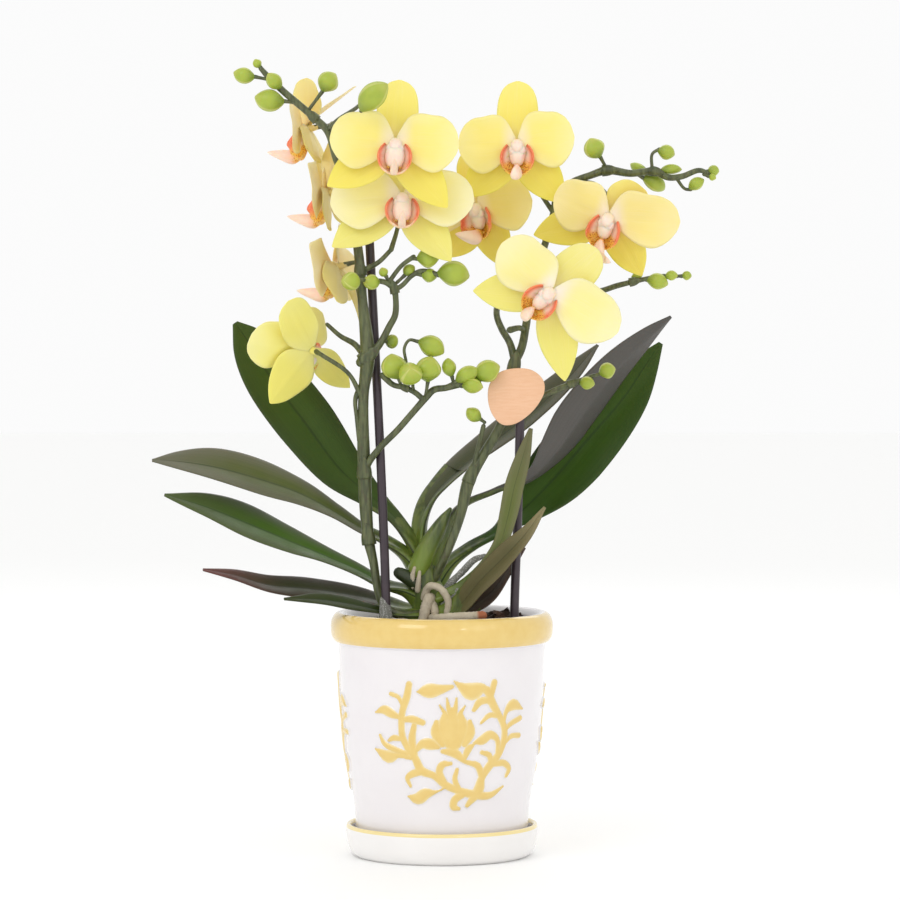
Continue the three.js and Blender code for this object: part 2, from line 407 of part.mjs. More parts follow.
// ---------------------------------------------------------------- flower spikes
// stems: seen x, z, depth and radius. buds: middle, where its pedicel leaves the stem, length and width.
const SPIKES = {
  spike_left: {
    stems: [
      [[-10, 119, -6, 2.4], [-21, 119, -10.5, 2.2], [-29, 124, -11.5, 2.1], [-34, 146, -12, 2.2],
        [-36.3, 157, -12, 2.8], [-38.3, 190, -13, 3.3], [-38.6, 228, -17, 2.6], [-36.6, 246, -18, 3.6],
        [-39.2, 275, -16, 2.4], [-40.2, 289, -16, 2.5], [-42, 304, -15, 2.2], [-49, 336, -12, 2],
        [-52, 344, -11, 1.9], [-56, 357, -10, 1.9], [-63, 364, -9, 1.8], [-77, 376, -8, 1.7],
        [-84, 382.5, -8, 1.6], [-89, 388, -8, 1.2]],
      [[-38, 190, -13, 1.9], [-35.5, 195, -16.5, 1.7], [-30, 202, -19.5, 1.6], [-22, 210, -20, 1.6],
        [-15, 218, -20, 1.6], [-8, 226, -20, 1.7], [-4, 230, -20, 1.7], [2, 231, -20, 1.6], [10, 233, -20, 1.7],
        [18, 234, -20, 1.4]],
      [[-9, 225, -20, 1.5], [-13, 228.5, -20, 1.4], [-18, 231, -20, 1.4], [-24, 232.5, -20, 1.4],
        [-29, 237, -20, 1.7]],
      [[-37, 246, -18, 2.2], [-33.5, 249, -18.5, 2], [-30, 253.5, -18.5, 1.8], [-26, 261, -18, 1.7],
        [-23, 267, -18, 1.6], [-22.8, 276, -18, 1.5], [-23.5, 280, -18, 1.8]],
      [[-23.5, 280, -18, 1.5], [-28, 283, -20, 1.4], [-36, 284, -22, 1.2]],
      [[-23.5, 279, -18, 1.4], [-19.5, 281.5, -18, 1.2], [-15, 286, -18, 1.2], [-10, 288.5, -18, 1.3],
        [-1, 286.5, -19, 1.3]],
      [[-26.5, 282.5, -19, 1.2], [-20, 291, -20, 1.1], [-14, 295.5, -20, 1.2]],
      [[-38.5, 247, -17, 1.6], [-43, 252.5, -12, 1.5], [-50, 256.5, -8, 1.2], [-56.5, 262.2, -5.5, 1]],
      [[-39, 288.5, -16, 1.5], [-31, 293, -18.5, 1.2], [-25, 299, -17, 1.1]],
      [[-39, 233, -16, 1.8], [-42.5, 226, -17, 1.2], [-42, 216, -16.5, 1], [-40.5, 205, -15, 1.4]],
    ],
    buds: [
      [[-97, 385, -8], [-85, 382.5, -8], 11, 8], [[-90.5, 390.5, -8], [-88, 387, -8], 5, 4.4],
      [[-82, 382, -10], [-76, 375.5, -8], 10, 7.5], [[-84.5, 373, -9], [-71, 371, -8], 15, 11],
      [[-55.5, 381, -10], [-66, 367, -9], 11, 10.5], [[-33.4, 373.6, -54], [-39.5, 367.4, -50], 20, 12],
      [[-7, 294.5, -20], [-15, 294.5, -20], 11, 10], [[-16, 288.5, -16], [-22, 283, -18], 7, 6],
      [[5.5, 286.5, -19], [-4, 287.5, -19], 16, 12.5], [[-6.5, 286, -17], [-13, 287, -18], 8, 7],
      [[-44.5, 284, -33], [-34, 284, -22], 11, 9], [[-34.5, 283.5, -24], [-27, 283, -20], 9, 7.5],
      [[-28.5, 288, -21], [-26, 283, -19], 5, 4.6], [[-25, 253.5, -12], [-29, 254, -16], 7, 7],
      [[-23, 241.5, -22], [-20, 231.5, -20], 13, 12.5], [[-15, 237.5, -33], [-14, 229.5, -20], 12, 11.5],
      [[-6, 240, -24], [-8, 227, -20], 13, 12.5], [[4, 241, -20], [6, 232, -20], 9.5, 7],
      [[12.5, 237, -22], [3, 232, -20], 13, 8], [[15, 231.5, -23], [7, 232, -20], 11, 7.5],
      [[22.5, 238.5, -21], [13, 233.5, -20], 13.5, 11], [[-5.5, 251, -20], [-12, 254, -20], 14, 10.5],
    ],
    hooks: [
      [[-17, 232, -20, 0.9], [-17.5, 243, -20, 0.8], [-18.5, 250.5, -20, 0.8], [-16, 254.5, -20, 0.8],
        [-11, 253.5, -20, 1]],
      [[-56, 358, -10, 1.2], [-51, 363, -22, 1], [-43, 368, -32, 1], [-38.5, 371.5, -42, 1],
        [-38.5, 369, -50, 1.2]],
    ],
  },
  spike_right: {
    stems: [
      [[-4, 136, -4, 2.2], [3, 151, -9.5, 2.2], [8.5, 166, -8.5, 2.4],
        [14, 187, -8, 3.2], [22, 200.5, -8, 2.4], [30.5, 216, -9, 2.4], [33, 229, -9, 2.4],
        [36, 244, -8, 2.9]],
      [[36, 244, -8, 2.1], [33.5, 253, -4, 1.8], [29.5, 260, 1, 1.7], [27, 267, 5, 1.6], [29.3, 280, 20, 1.5],
        [31.5, 296, 33, 1.5], [30, 311, 37, 1.3]],
      [[36, 244, -8, 2.3], [39.2, 250.5, -6, 2.1], [41.5, 262, -3, 2], [44, 279, 1, 1.9], [50, 299, 3, 1.8],
        [55, 317, 3, 1.8], [57, 326, 2, 1.8], [64, 332, 1, 1.8], [73, 335.5, 0, 1.8], [81.5, 338, -1, 2.1],
        [93, 336.5, -2, 1.8], [104.5, 337.5, -3, 1.8], [111.5, 334.5, -3, 1.6], [118, 335, -3, 1.5],
        [126.5, 338, -4, 1.3], [131.5, 336.5, -4, 1]],
      [[14.5, 188, -8, 1.2], [17.5, 200, -11, 1.1], [20.5, 212, -13, 1.2]],
      [[33, 227, -9, 1.6], [42, 225, -9, 1.5], [50, 227.5, -9, 1.4], [60, 231.5, -10, 1.5], [66.5, 234, -10, 1.3],
        [75, 237, -11, 1.1]],
      [[46, 286, 2, 1.6], [62, 281, 0, 1.5], [76, 278.5, -4, 1.4], [87, 281.5, -8, 1.4], [97.5, 284, -10, 1.2],
        [108, 286, -11, 1.1], [116, 286, -11, 1]],
      [[41, 259, -3, 1.4], [38, 260.5, -9, 1.4], [33.5, 259.5, -12, 1.7]],
    ],
    buds: [
      [[75.5, 349, -4], [81, 339, -1], 11, 10.5], [[97, 339.5, 3], [103, 337, -3], 12, 5],
      [[104, 331.5, 4], [96, 336, -2], 15, 8], [[112.5, 338, 0], [104, 337.5, -3], 12, 5],
      [[133.5, 337.5, -3], [128, 337.5, -4], 6, 5.6], [[133, 334.5, -5], [129, 336, -4], 4, 3.6],
      [[106, 283, -11], [99, 284.5, -10], 11, 8], [[113, 286, -12], [108, 285.5, -11], 6.5, 5],
      [[120.5, 286, -11], [115, 286, -11], 5, 4.6], [[96, 285.5, -8], [90, 282, -8], 7, 4],
      [[71.5, 233, -12], [66, 233.5, -10], 8, 6.5], [[81.5, 239, -12], [74, 236.5, -11], 8.5, 8],
      [[16, 218, -14], [21, 214, -13], 9, 7],
    ],
    hooks: [
      [[103.5, 338, -3, 0.9], [103.5, 346, -3, 0.8], [107, 348.5, -3, 0.9]],
      [[115.5, 334, -3, 0.9], [119.5, 329, -3, 0.8], [122.5, 328.5, -3, 0.9]],
    ],
    hung: [[[106, 347.5, -3], [114.5, 345.5, -3], 7.5], [[121.5, 328.5, -3], [129, 333.5, -3], 6.2]],
  },
};

// ---------------------------------------------------------------- blooms
// joint: where the petals meet, as seen, and its depth. face: where the bloom looks. roll: turn about
// that, in degrees. tips: where the upper sepal, the right and left petal and the right and left sepal end, as seen.
// adjust: what else differs in them. tongue: where the lip's tongue ends, in the bloom's own directions.
// from: where the pedicel leaves its spike, and via: a point that it passes.
const BLOOMS = {
  bloom_1: { spike: 'spike_left', joint: [-22.9, 351, -39], face: [0.02, -0.99, 0.08], roll: -3,
    tips: [[-20.6, 382.8], [8.5, 350.6], [-55.2, 353.7], [2.6, 319.7], [-56.4, 330.4]],
    from: [-50, 339, -12], via: [-37, 358, -21] },
  bloom_2: { spike: 'spike_left', joint: [-19.4, 324.1, -25], face: [0.03, -0.97, 0.18], roll: -2,
    tips: [[-19.1, 353], [15.9, 323.4], [-54.9, 321.4], [4.5, 293.5], [-54, 300.4]],
    from: [-25, 299, -17], via: [-22, 309, -13] },
  bloom_3: { spike: 'spike_left', joint: [-67, 358.6, 30], face: [-0.95, 0.28, -0.1], roll: 0,
    adjust: [{ turn: 10, length: 24, twist: 62 }, { turn: 88, tilt: -6, length: 30 },
      { turn: -25, tilt: -50, width: 12, twist: 28 }, { turn: 134, tilt: -14, length: 28, twist: 15 },
      { turn: -166, tilt: -22, length: 35, droop: -0.42, width: 15 }],
    from: [-56, 357, -10], via: [-54, 361, 8] },
  bloom_4: { spike: 'spike_left', joint: [-57.1, 327.1, 13.5], face: [-0.95, 0.28, -0.1], roll: 0,
    adjust: [{ length: 27, twist: 35 }, { turn: 88, tilt: -6 }, { turn: -88, tilt: -4 },
      { turn: 128, tilt: -6, length: 30 }, { turn: -114, width: 17 }],
    from: [-45, 321, -14], via: [-46, 325, 2] },
  bloom_5: { spike: 'spike_left', joint: [-52.7, 291, 1.5], face: [-0.95, 0.3, -0.12], roll: 0,
    adjust: [{ length: 20, twist: 20 }, { turn: 94, tilt: 2, length: 31 }, { turn: -100, tilt: -2 },
      { turn: 126, tilt: -8, width: 21, twist: 20 },
      { turn: -164, tilt: -31, length: 34, droop: -0.42, width: 12 }],
    from: [-39.5, 272, -16], via: [-41.5, 281, -9] },
  bloom_6: { spike: 'spike_left', joint: [-64.7, 250.4, -14], face: [-0.55, 0.75, 0.3], roll: -25,
    tips: [[-76.5, 274.2], [-95.6, 252.1], null, [-84.9, 223.5], [-44.3, 230.4]],
    adjust: [{}, { width: 24 }, { turn: -66, tilt: 34, length: 22, width: 22 },
      { width: 25 }, { tilt: 14, width: 15 }],
    from: [-39.5, 226, -17], via: [-46, 238, -20] },
  bloom_7: { spike: 'spike_right', joint: [17.9, 319.7, 22], face: [-0.42, -0.87, -0.2], roll: 6,
    tips: [null, [44.7, 323.6], null, [32.7, 290.1], [3.6, 295.5]],
    adjust: [{ length: 29 }, {}, {}, {}, {}],
    from: [30, 311, 37], via: [29, 319, 40] },
  bloom_8: { spike: 'spike_right', joint: [37.1, 350.7, -9], face: [-0.03, -0.99, -0.03], roll: 0,
    tips: [[37.4, 382.2], [65.2, 354.7], [8, 350], [59.8, 322.1], [11, 325.1]],
    adjust: [{}, {}, {}, {}, {}],
    from: [55, 317, 3], via: [46, 331, 5] },
  bloom_9: { spike: 'spike_right', joint: [82.4, 315, -22], face: [-0.3, -0.9, -0.3], roll: -20,
    tips: [[101.2, 328.5], [117.3, 312.8], [55.3, 325.6], [98.3, 286.1], [45.3, 306.3]],
    adjust: [{ width: 24 }, {}, {}, {}, {}], tongue: [9, -17, 13],
    from: [64, 332, 1], via: [76, 331, -3] },
  bloom_10: { spike: 'spike_right', joint: [53.6, 278, -35], face: [-0.2, -0.96, -0.1], roll: -48,
    tips: [[77.3, 299.4], [86.9, 258.5], [29.7, 302.4], [60.6, 234.3], [15.4, 278.7]],
    adjust: [{ width: 22 }, {}, {}, {}, {}], tongue: [2.5, -13.5, 18],
    from: [42, 266, -2], via: [49, 270, -9] },
};
const NECK = 6.5; // length of the flower's stalk behind the joint

// Stations along a petal: share of its length and of its half width, and of the upper side's where that differs.
const ROUND = [[0, 0.2, 0.3], [0.2, 0.58, 0.92], [0.56, 1, 1.02], [0.88, 0.62, 0.74], [1, 0.16, 0.2]];
const OVAL = [[0, 0.3], [0.36, 0.98], [0.78, 0.86], [1, 0.22]];
const POINTED = [[0, 0.3], [0.36, 0.98], [0.76, 0.74], [1, 0.06]];
const TEPALS = [ // angle from straight up, length, width, outline, columns, lift, tilt forward, cup, droop
  { turn: 0, length: 31, width: 20, outline: OVAL, cols: 2, lift: -1.9, tilt: -4, cup: 0.06, droop: 0.08 },
  { turn: 80, length: 32, width: 28, outline: ROUND, cols: 2, lift: 1, tilt: 3, cup: 0.1, droop: 0.05 },
  { turn: -80, length: 32, width: 28, outline: ROUND, cols: 2, lift: 1, tilt: 3, cup: 0.1, droop: 0.05 },
  { turn: 128, length: 33, width: 20, outline: POINTED, cols: 2, lift: -1.7, tilt: 0, cup: 0.06, droop: 0.05 },
  { turn: -128, length: 33, width: 20, outline: POINTED, cols: 2, lift: -1.7, tilt: 0, cup: 0.06, droop: 0.05 },
];
const TEPAL_ROOT = 0.8; // distance of a petal's root from the joint
const TONGUE = [0, -9.7, 21.2]; // end of the lip's tongue

// The joint of a bloom's petals and its own right, up and forward directions.
function frameOf({ joint, face, roll }) {
  const f = vec(...face).normalize();
  const u = vec(0, 0, 1).addScaledVector(f, -f.z).normalize().applyAxisAngle(f, (roll * Math.PI) / 180);
  const r = u.clone().cross(f);
  const o = seen(joint);
  const place = (a, b, c) => o.clone().addScaledVector(r, a).addScaledVector(u, b).addScaledVector(f, c);
  return { o, r, u, f, place };
}

// The turn and length of a petal whose end is seen at the given point.
function aimed({ o, r, u, f }, [x, z], { length, lift, tilt, droop }) {
  const rise = lift + length * (Math.sin((tilt * Math.PI) / 180) - droop);
  const sight = vec(x, 0, z).sub(EYE);
  const reach = (o.clone().sub(EYE).dot(f) + rise) / sight.dot(f);
  const end = EYE.clone().addScaledVector(sight, reach).sub(o);
  const [across, up] = [end.dot(r), end.dot(u)];
  return { turn: (Math.atan2(across, up) * 180) / Math.PI, length: Math.hypot(across, up) - TEPAL_ROOT };
}

function tepal(frame, { turn, length, width, outline, cols, lift, tilt, cup, droop, twist = 0 }) {
  const upper = -Math.sign(turn);
  const a = (turn * Math.PI) / 180;
  const t = (tilt * Math.PI) / 180;
  const flat = frame.u.clone().multiplyScalar(Math.cos(a)).addScaledVector(frame.r, Math.sin(a));
  const out = flat.clone().multiplyScalar(Math.cos(t)).addScaledVector(frame.f, Math.sin(t));
  const side = frame.r.clone().multiplyScalar(Math.cos(a)).addScaledVector(frame.u, -Math.sin(a))
    .applyAxisAngle(out, (twist * Math.PI) / 180);
  const face = side.clone().cross(out);
  const grid = outline.map(([along, wide, above = wide]) => Array.from({ length: cols + 1 }, (_, j) => {
    const v = (2 * j) / cols - 1;
    const half = ((v * upper > 0 ? above : wide) * width) / 2;
    return frame.o.clone().addScaledVector(out, TEPAL_ROOT + length * along)
      .addScaledVector(side, v * half)
      .addScaledVector(face, lift + cup * v * v * half - droop * length * along * along);
  }));
  return sheet(grid, () => PETAL);
}

function lip({ place }, [a, b, c]) { // a scoop with raised side lobes and a pointed tongue
  return sheet([
    [place(-1.4, -1, 0.6), place(-1, -1.8, 0.6), place(0, -2.4, 0.6), place(1, -1.8, 0.6), place(1.4, -1, 0.6)],
    [place(-7, 0, 3.4), place(-6.6, -8.6, 3), place(0, -13, 3), place(6.6, -8.6, 3), place(7, 0, 3.4)],
    [place(-7.4, -0.8, 7.2), place(-6.8, -9.8, 7.2), place(0, -14.4, 7.6), place(6.8, -9.8, 7.2),
      place(7.4, -0.8, 7.2)],
    [place(-4.8, -8, 11), place(-4.2, -11.4, 11.6), place(0, -13.8, 12), place(4.2, -11.4, 11.6),
      place(4.8, -8, 11)],
    [-0.8, -0.4, 0, 0.4, 0.8].map((k) => place(a + k, b + Math.abs(k) / 2, c - Math.abs(k) / 2)),
  ], () => 1);
}

function bloom(spec) {
  const frame = frameOf(spec);
  const neck = tube([frame.place(0, -3.6, 9), frame.place(0, -1, 2.2), frame.place(0, 0, -2.4),
    frame.place(0, 0, -NECK)], [2.3, 3.4, 3.2, 1.3], { sides: 5 });
  const tepals = TEPALS.map((one, i) => {
    const own = { ...one, ...spec.adjust?.[i] };
    const aim = spec.tips?.[i] ? aimed(frame, spec.tips[i], own) : {};
    return tepal(frame, { ...own, ...aim });
  });
  return joined([...tepals, lip(frame, spec.tongue ?? TONGUE), neck]);
}

function pedicel({ from, via, ...spec }, grow = 0) {
  const { place } = frameOf(spec);
  const line = [seen(from), seen(via), place(0, 0, -NECK - 5), place(0, 0, -NECK - SEAT)];
  return tube(line, [1.3, 1.1, 1.1, 1.1], { sides: 4, steps: 4, grow });
}

function spike(name, grow = 0) {
  const { stems, buds, hooks, hung = [] } = SPIKES[name];
  const pieces = stems.map((knots, i) => strand(knots, { sides: i ? 4 : 6, grow }));
  hooks.forEach((knots) => pieces.push(strand(knots, { sides: 4, grow })));
  buds.forEach(([at, from, length, width]) => {
    const middle = seen(at);
    const start = seen(from);
    const half = middle.clone().sub(start).setLength(length / 2);
    const base = middle.clone().sub(half);
    const sides = 4 + (width > 7) + (width > 12);
    pieces.push(stalkedBud(start, base, middle.clone().add(half), width, { sides, grow }));
  });
  hung.forEach(([base, tip, width]) => pieces.push(egg(seen(base), seen(tip), width, { grow })));
  Object.values(BLOOMS).filter((one) => one.spike === name).forEach((one) => pieces.push(pedicel(one, grow)));
  return joined(pieces);
}

// ---------------------------------------------------------------- growing mix
function mix() {
  const random = drawn(7);
  const around = 18;
  const rings = 3;
  const [topR] = MIX_SIDE[MIX_SIDE.length - 1];
  const circle = (r, height) => Array.from({ length: around }, (_, k) => {
    const a = (2 * Math.PI * k) / around;
    return vec(r * Math.cos(a), r * Math.sin(a), height(r * Math.cos(a), r * Math.sin(a)));
  });
  const lumpy = (x, y) => MIX_TOP - 1 + 2 * random() + 3 * Math.exp(-((x - 30) ** 2 + (y - 26) ** 2) / 260);
  const layers = MIX_SIDE.map(([r, z]) => circle(r, () => z));
  for (let i = rings; i > 0; i -= 1) {
    layers.push(circle((topR * i) / (rings + 0.3) + 0.8, lumpy));
  }
  const pieces = [solid(layers.flat(), swept(layers.length, around))];
  for (let i = 0; i < CHIPS; i += 1) { // bark chips, sunk in the top
    const a = random() * 2 * Math.PI;
    const r = 12 + 28 * Math.sqrt(random());
    const size = [8 + 7 * random(), 5 + 4 * random(), 5 + 2 * random()];
    const [tiltX, tiltY, spin] = [0.52 * (random() - 0.5), 0.52 * (random() - 0.5), 6.28 * random()];
    const chip = new THREE.BoxGeometry(...size).rotateX(tiltX).rotateY(tiltY).rotateZ(spin);
    chip.translate(r * Math.cos(a), r * Math.sin(a), MIX_TOP);
    if (r + size[0] / 2 < topR) pieces.push(closed(chip));
  }
  return joined(pieces);
}

// ---------------------------------------------------------------- tag
const TAG = { middle: [36.5, 226.5], depth: -17.8, thick: 1.2 };
const TAG_EDGE = [ // outline from the middle: sideways and up
  [-8, 12], [0, 14], [8, 13], [13.2, 8.5], [14, 3], [11, -3.5], [5.5, -9.5], [-1, -13.4], [-6.5, -13.6],
  [-11, -9.5], [-13.6, -2], [-12.8, 6.5],
];

function tag() {
  const outline = new THREE.Shape(TAG_EDGE.map(([x, z]) => new THREE.Vector2(x, z)));
  const plate = new THREE.ExtrudeGeometry(outline, { depth: TAG.thick, bevelEnabled: false });
  const at = seen([...TAG.middle, TAG.depth]);
  return closed(plate.rotateX(Math.PI / 2).translate(at.x, at.y + TAG.thick, at.z));
}

// ---------------------------------------------------------------- the assembly
const crownRoom = crown(SEAT);
const leftStake = stake(STAKES.stake_left, SEAT);
const rightStake = stake(STAKES.stake_right, SEAT);
const leftRoom = spike('spike_left', SEAT);
const rightRoom = spike('spike_right', SEAT);

add('saucer', saucer(), [COLOURS.saucer, 0.15]);
add('pot', pot(), COLOURS.glaze);
add('crown_with_roots', crown(), [COLOURS.crown]);
Object.entries(STAKES).forEach(([name, knots]) => add(name, stake(knots), [COLOURS.stake]));
add('spike_left', spike('spike_left').subtract(crownRoom).subtract(leftStake), [COLOURS.stem]);
add('spike_right', spike('spike_right').subtract(crownRoom).subtract(rightStake), [COLOURS.stem]);
const hard = joined([crownRoom, leftStake, rightStake, leftRoom, rightRoom]);
Object.entries(LEAVES).forEach(([name, spec]) => {
  add(name, leaf(spec).subtract(hard), [PURPLISH.includes(name) ? COLOURS.leafBack : COLOURS.leaf]);
});
add('growing_mix', mix().subtract(joined([crownRoom, leftStake, rightStake])), [COLOURS.mix, 0.9]);
Object.entries(BLOOMS).forEach(([name, spec]) => add(name, bloom(spec), [COLOURS.petal]));
add('tag', tag(), [COLOURS.tag]);

export default group;
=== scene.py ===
import math
import random

import bmesh
import bpy
import numpy as np
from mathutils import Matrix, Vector


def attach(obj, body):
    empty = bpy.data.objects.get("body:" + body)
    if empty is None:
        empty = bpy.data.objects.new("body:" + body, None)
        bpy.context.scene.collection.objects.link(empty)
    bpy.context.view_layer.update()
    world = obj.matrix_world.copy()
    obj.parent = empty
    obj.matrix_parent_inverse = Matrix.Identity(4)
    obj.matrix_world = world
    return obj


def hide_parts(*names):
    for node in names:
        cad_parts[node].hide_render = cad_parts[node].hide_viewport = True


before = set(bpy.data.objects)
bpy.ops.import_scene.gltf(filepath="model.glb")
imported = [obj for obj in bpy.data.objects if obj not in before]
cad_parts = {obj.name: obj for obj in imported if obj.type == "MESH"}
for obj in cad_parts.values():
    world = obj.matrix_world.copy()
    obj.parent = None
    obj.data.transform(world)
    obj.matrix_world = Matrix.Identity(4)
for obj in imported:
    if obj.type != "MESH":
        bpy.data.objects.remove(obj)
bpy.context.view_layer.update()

MM = 0.001
TAU = 2 * math.pi
EYE = np.array([4.0, -2050.0, 280.0])  # where the plant was looked at from
LOOK_AT = (4.0, 0.0, 200.3)
VIEW_WIDTH = 444.0  # width of the picture at the plant
SENSOR = 36.0

# ---------------------------------------------------------------- lines and surfaces


def seen(knot):
    """The point at depth y on the line of sight that meets the pot's middle plane at (x, z)."""
    x, z, y = knot[:3]
    reach = (y - EYE[1]) / -EYE[1]
    return np.array([EYE[0] + (x - EYE[0]) * reach, y, EYE[2] + (z - EYE[2]) * reach])


def unit(vectors):
    vectors = np.asarray(vectors, float)
    return vectors / np.maximum(np.linalg.norm(vectors, axis=-1, keepdims=True), 1e-9)


def xyz(a, b, c):
    """Rows of three parts, from three grids or numbers."""
    return np.stack(np.broadcast_arrays(a, b, c), -1)


def way_round(count):
    """Equal steps of angle all the way round."""
    return np.arange(count) * TAU / count


def through(points, steps):
    """A smooth line through points. Columns after the third, such as a radius, go along."""
    points = np.asarray(points, float)
    spans = len(points) - 1
    padded = np.vstack([2 * points[0] - points[1], points, 2 * points[-1] - points[-2]])
    line = []
    for i in range(steps + 1):
        at = i / steps * spans
        k = min(int(at), spans - 1)
        w = at - k
        p = padded[k:k + 4]
        gaps = np.maximum(np.linalg.norm(np.diff(p[:, :3], axis=0), axis=1) ** 0.5, 1e-3)
        a, b, c = gaps
        t1 = ((p[1] - p[0]) / a - (p[2] - p[0]) / (a + b) + (p[2] - p[1]) / b) * b
        t2 = ((p[2] - p[1]) / b - (p[3] - p[1]) / (b + c) + (p[3] - p[2]) / c) * b
        line.append(p[1] + t1 * w + (3 * (p[2] - p[1]) - 2 * t1 - t2) * w ** 2
                    + (2 * (p[1] - p[2]) + t1 + t2) * w ** 3)
    return np.array(line)


def knots_line(knots, steps):
    """Points and radii along knots that are given as seen."""
    line = through([[*seen(k), *k[3:]] for k in knots], steps)
    return line[:, :3], np.maximum(line[:, 3], 0.2)


def eased(stations, t):
    """A smooth value at t from (t, value) stations."""
    xs, ys = np.array(stations, float).T
    t = np.clip(t, xs[0], xs[-1])
    k = np.clip(np.searchsorted(xs, t) - 1, 0, len(xs) - 2)
    w = (t - xs[k]) / (xs[k + 1] - xs[k])
    slope = np.gradient(ys, xs)
    h = xs[k + 1] - xs[k]
    return ((2 * w ** 3 - 3 * w ** 2 + 1) * ys[k] + (w ** 3 - 2 * w ** 2 + w) * h * slope[k]
            + (3 * w ** 2 - 2 * w ** 3) * ys[k + 1] + (w ** 3 - w ** 2) * h * slope[k + 1])


class Shape:
    """One piece under construction: points, faces and a three-part tint for each point."""

    def __init__(self):
        self.points, self.tints, self.faces, self.slots, self.smooth = [], [], [], [], []
        self.count = 0

    def add(self, points, faces, tint, slot=0, smooth=True):
        self.points.append(points)
        self.tints.append(np.broadcast_to(tint, points.shape))
        for block in faces:
            self.faces += (block + self.count).tolist()
            self.slots += [slot] * len(block)
            self.smooth += [smooth] * len(block)
        self.count += len(points)

    def skin(self, rings, tint, slot=0, loop=False):
        """Closed surface over rings of points, fanned shut at both ends unless they form a loop."""
        rings = np.asarray(rings, float)
        n, m = rings.shape[:2]
        row = np.arange(n if loop else n - 1)[:, None] * m
        ahead = (row + m) % (n * m)
        k = np.arange(m)
        after = (k + 1) % m
        blocks = [np.stack([row + k, row + after, ahead + after, ahead + k], -1).reshape(-1, 4)]
        points = rings.reshape(-1, 3)
        tint = np.broadcast_to(tint, rings.shape).reshape(-1, 3)
        if not loop:
            last = (n - 1) * m
            blocks += [xyz(after, k, n * m), xyz(k + last, after + last, n * m + 1)]
            points = np.vstack([points, rings[0].mean(0), rings[-1].mean(0)])
            tint = np.vstack([tint, tint[:m].mean(0), tint[-m:].mean(0)])
        self.add(points, blocks, tint, slot)

    def piece(self, name, materials, replaced):
        """Makes the object, which stands for a CAD node."""
        mesh = bpy.data.meshes.new(name)
        mesh.from_pydata((np.vstack(self.points) * MM).tolist(), [], self.faces)
        tint = mesh.attributes.new("tint", "FLOAT_VECTOR", "POINT")
        tint.data.foreach_set("vector", np.vstack(self.tints).ravel())
        mesh.polygons.foreach_set("material_index", self.slots)
        mesh.polygons.foreach_set("use_smooth", self.smooth)
        for material in materials:
            mesh.materials.append(material)
        work = bmesh.new()
        work.from_mesh(mesh)
        bmesh.ops.recalc_face_normals(work, faces=work.faces)
        work.to_mesh(mesh)
        work.free()
        made = linked(name, mesh)
        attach(made, "root")
        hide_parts(replaced)


def linked(name, data, place=(0, 0, 0), aim=None):
    """A new object in the scene, which looks from its place at its aim if it has one."""
    made = bpy.data.objects.new(name, data)
    made.location = place
    if aim is not None:
        made.rotation_euler = (Vector(aim) - Vector(place)).to_track_quat("-Z", "Y").to_euler()
    bpy.context.scene.collection.objects.link(made)
    return made


def frames(line):
    """Directions ahead, sideways and up along a line, turned as little as possible."""
    ahead = unit(np.gradient(line, axis=0))
    side = np.array([0.0, 1.0, 0.0]) if abs(ahead[0][1]) < 0.9 else np.array([1.0, 0.0, 0.0])
    sides = []
    for direction in ahead:
        side = unit(side - direction * side.dot(direction))
        sides.append(side)
    sides = np.array(sides)
    return ahead, sides, np.cross(ahead, sides)


CAPS = [(0.99, 0.15), (0.92, 0.4), (0.66, 0.75)]  # a tube's rounded end: how far out, how wide


def tube(shape, line, radii, sides, kind=0.0, slot=0, blunt=True, lobes=0.0):
    """A stalk. Its tint is (kind, share of the length, share of the way round)."""
    radii = np.broadcast_to(radii, len(line))
    ahead, side, up = frames(line)
    shares = np.linspace(0, 1, len(line))
    stations = [(i, 0.0, 1.0) for i in range(len(line))]
    if blunt:
        foot = [(0, -out, wide) for out, wide in CAPS]
        end = [(len(line) - 1, out, wide) for out, wide in reversed(CAPS)]
        stations = foot + stations + end
    angles = way_round(sides)
    rings, tints = [], []
    for i, shift, scale in stations:
        r = radii[i] * scale * (1 + lobes * np.cos(3 * angles))
        middle = line[i] + ahead[i] * shift * radii[i]
        rings.append(middle + np.outer(np.cos(angles) * r, side[i]) + np.outer(np.sin(angles) * r, up[i]))
        tints.append(xyz(kind, shares[i], angles / TAU))
    shape.skin(rings, tints, slot)


def blade(shape, grid, normal, thick, tint, under=None, slot=0):
    """A thin closed sheet about a grid of middle points. Its lower face may have a tint of its own."""
    half = normal * np.broadcast_to(thick, grid.shape[:2])[..., None] / 2
    upper = np.broadcast_to(tint, grid.shape)
    under = upper if under is None else under
    rings = np.concatenate([grid + half, (grid - half)[:, ::-1]], axis=1)
    shape.skin(rings, np.concatenate([upper, under[:, ::-1]], axis=1), slot)


def grid_normals(grid):
    return unit(np.cross(np.gradient(grid, axis=1), np.gradient(grid, axis=0)))


# ---------------------------------------------------------------- materials


def rgb(code):
    """A colour code as linear numbers."""
    parts = [int(code[i:i + 2], 16) / 255 for i in (1, 3, 5)]
    return tuple(p / 12.92 if p <= 0.04045 else ((p + 0.055) / 1.055) ** 2.4 for p in parts) + (1.0,)


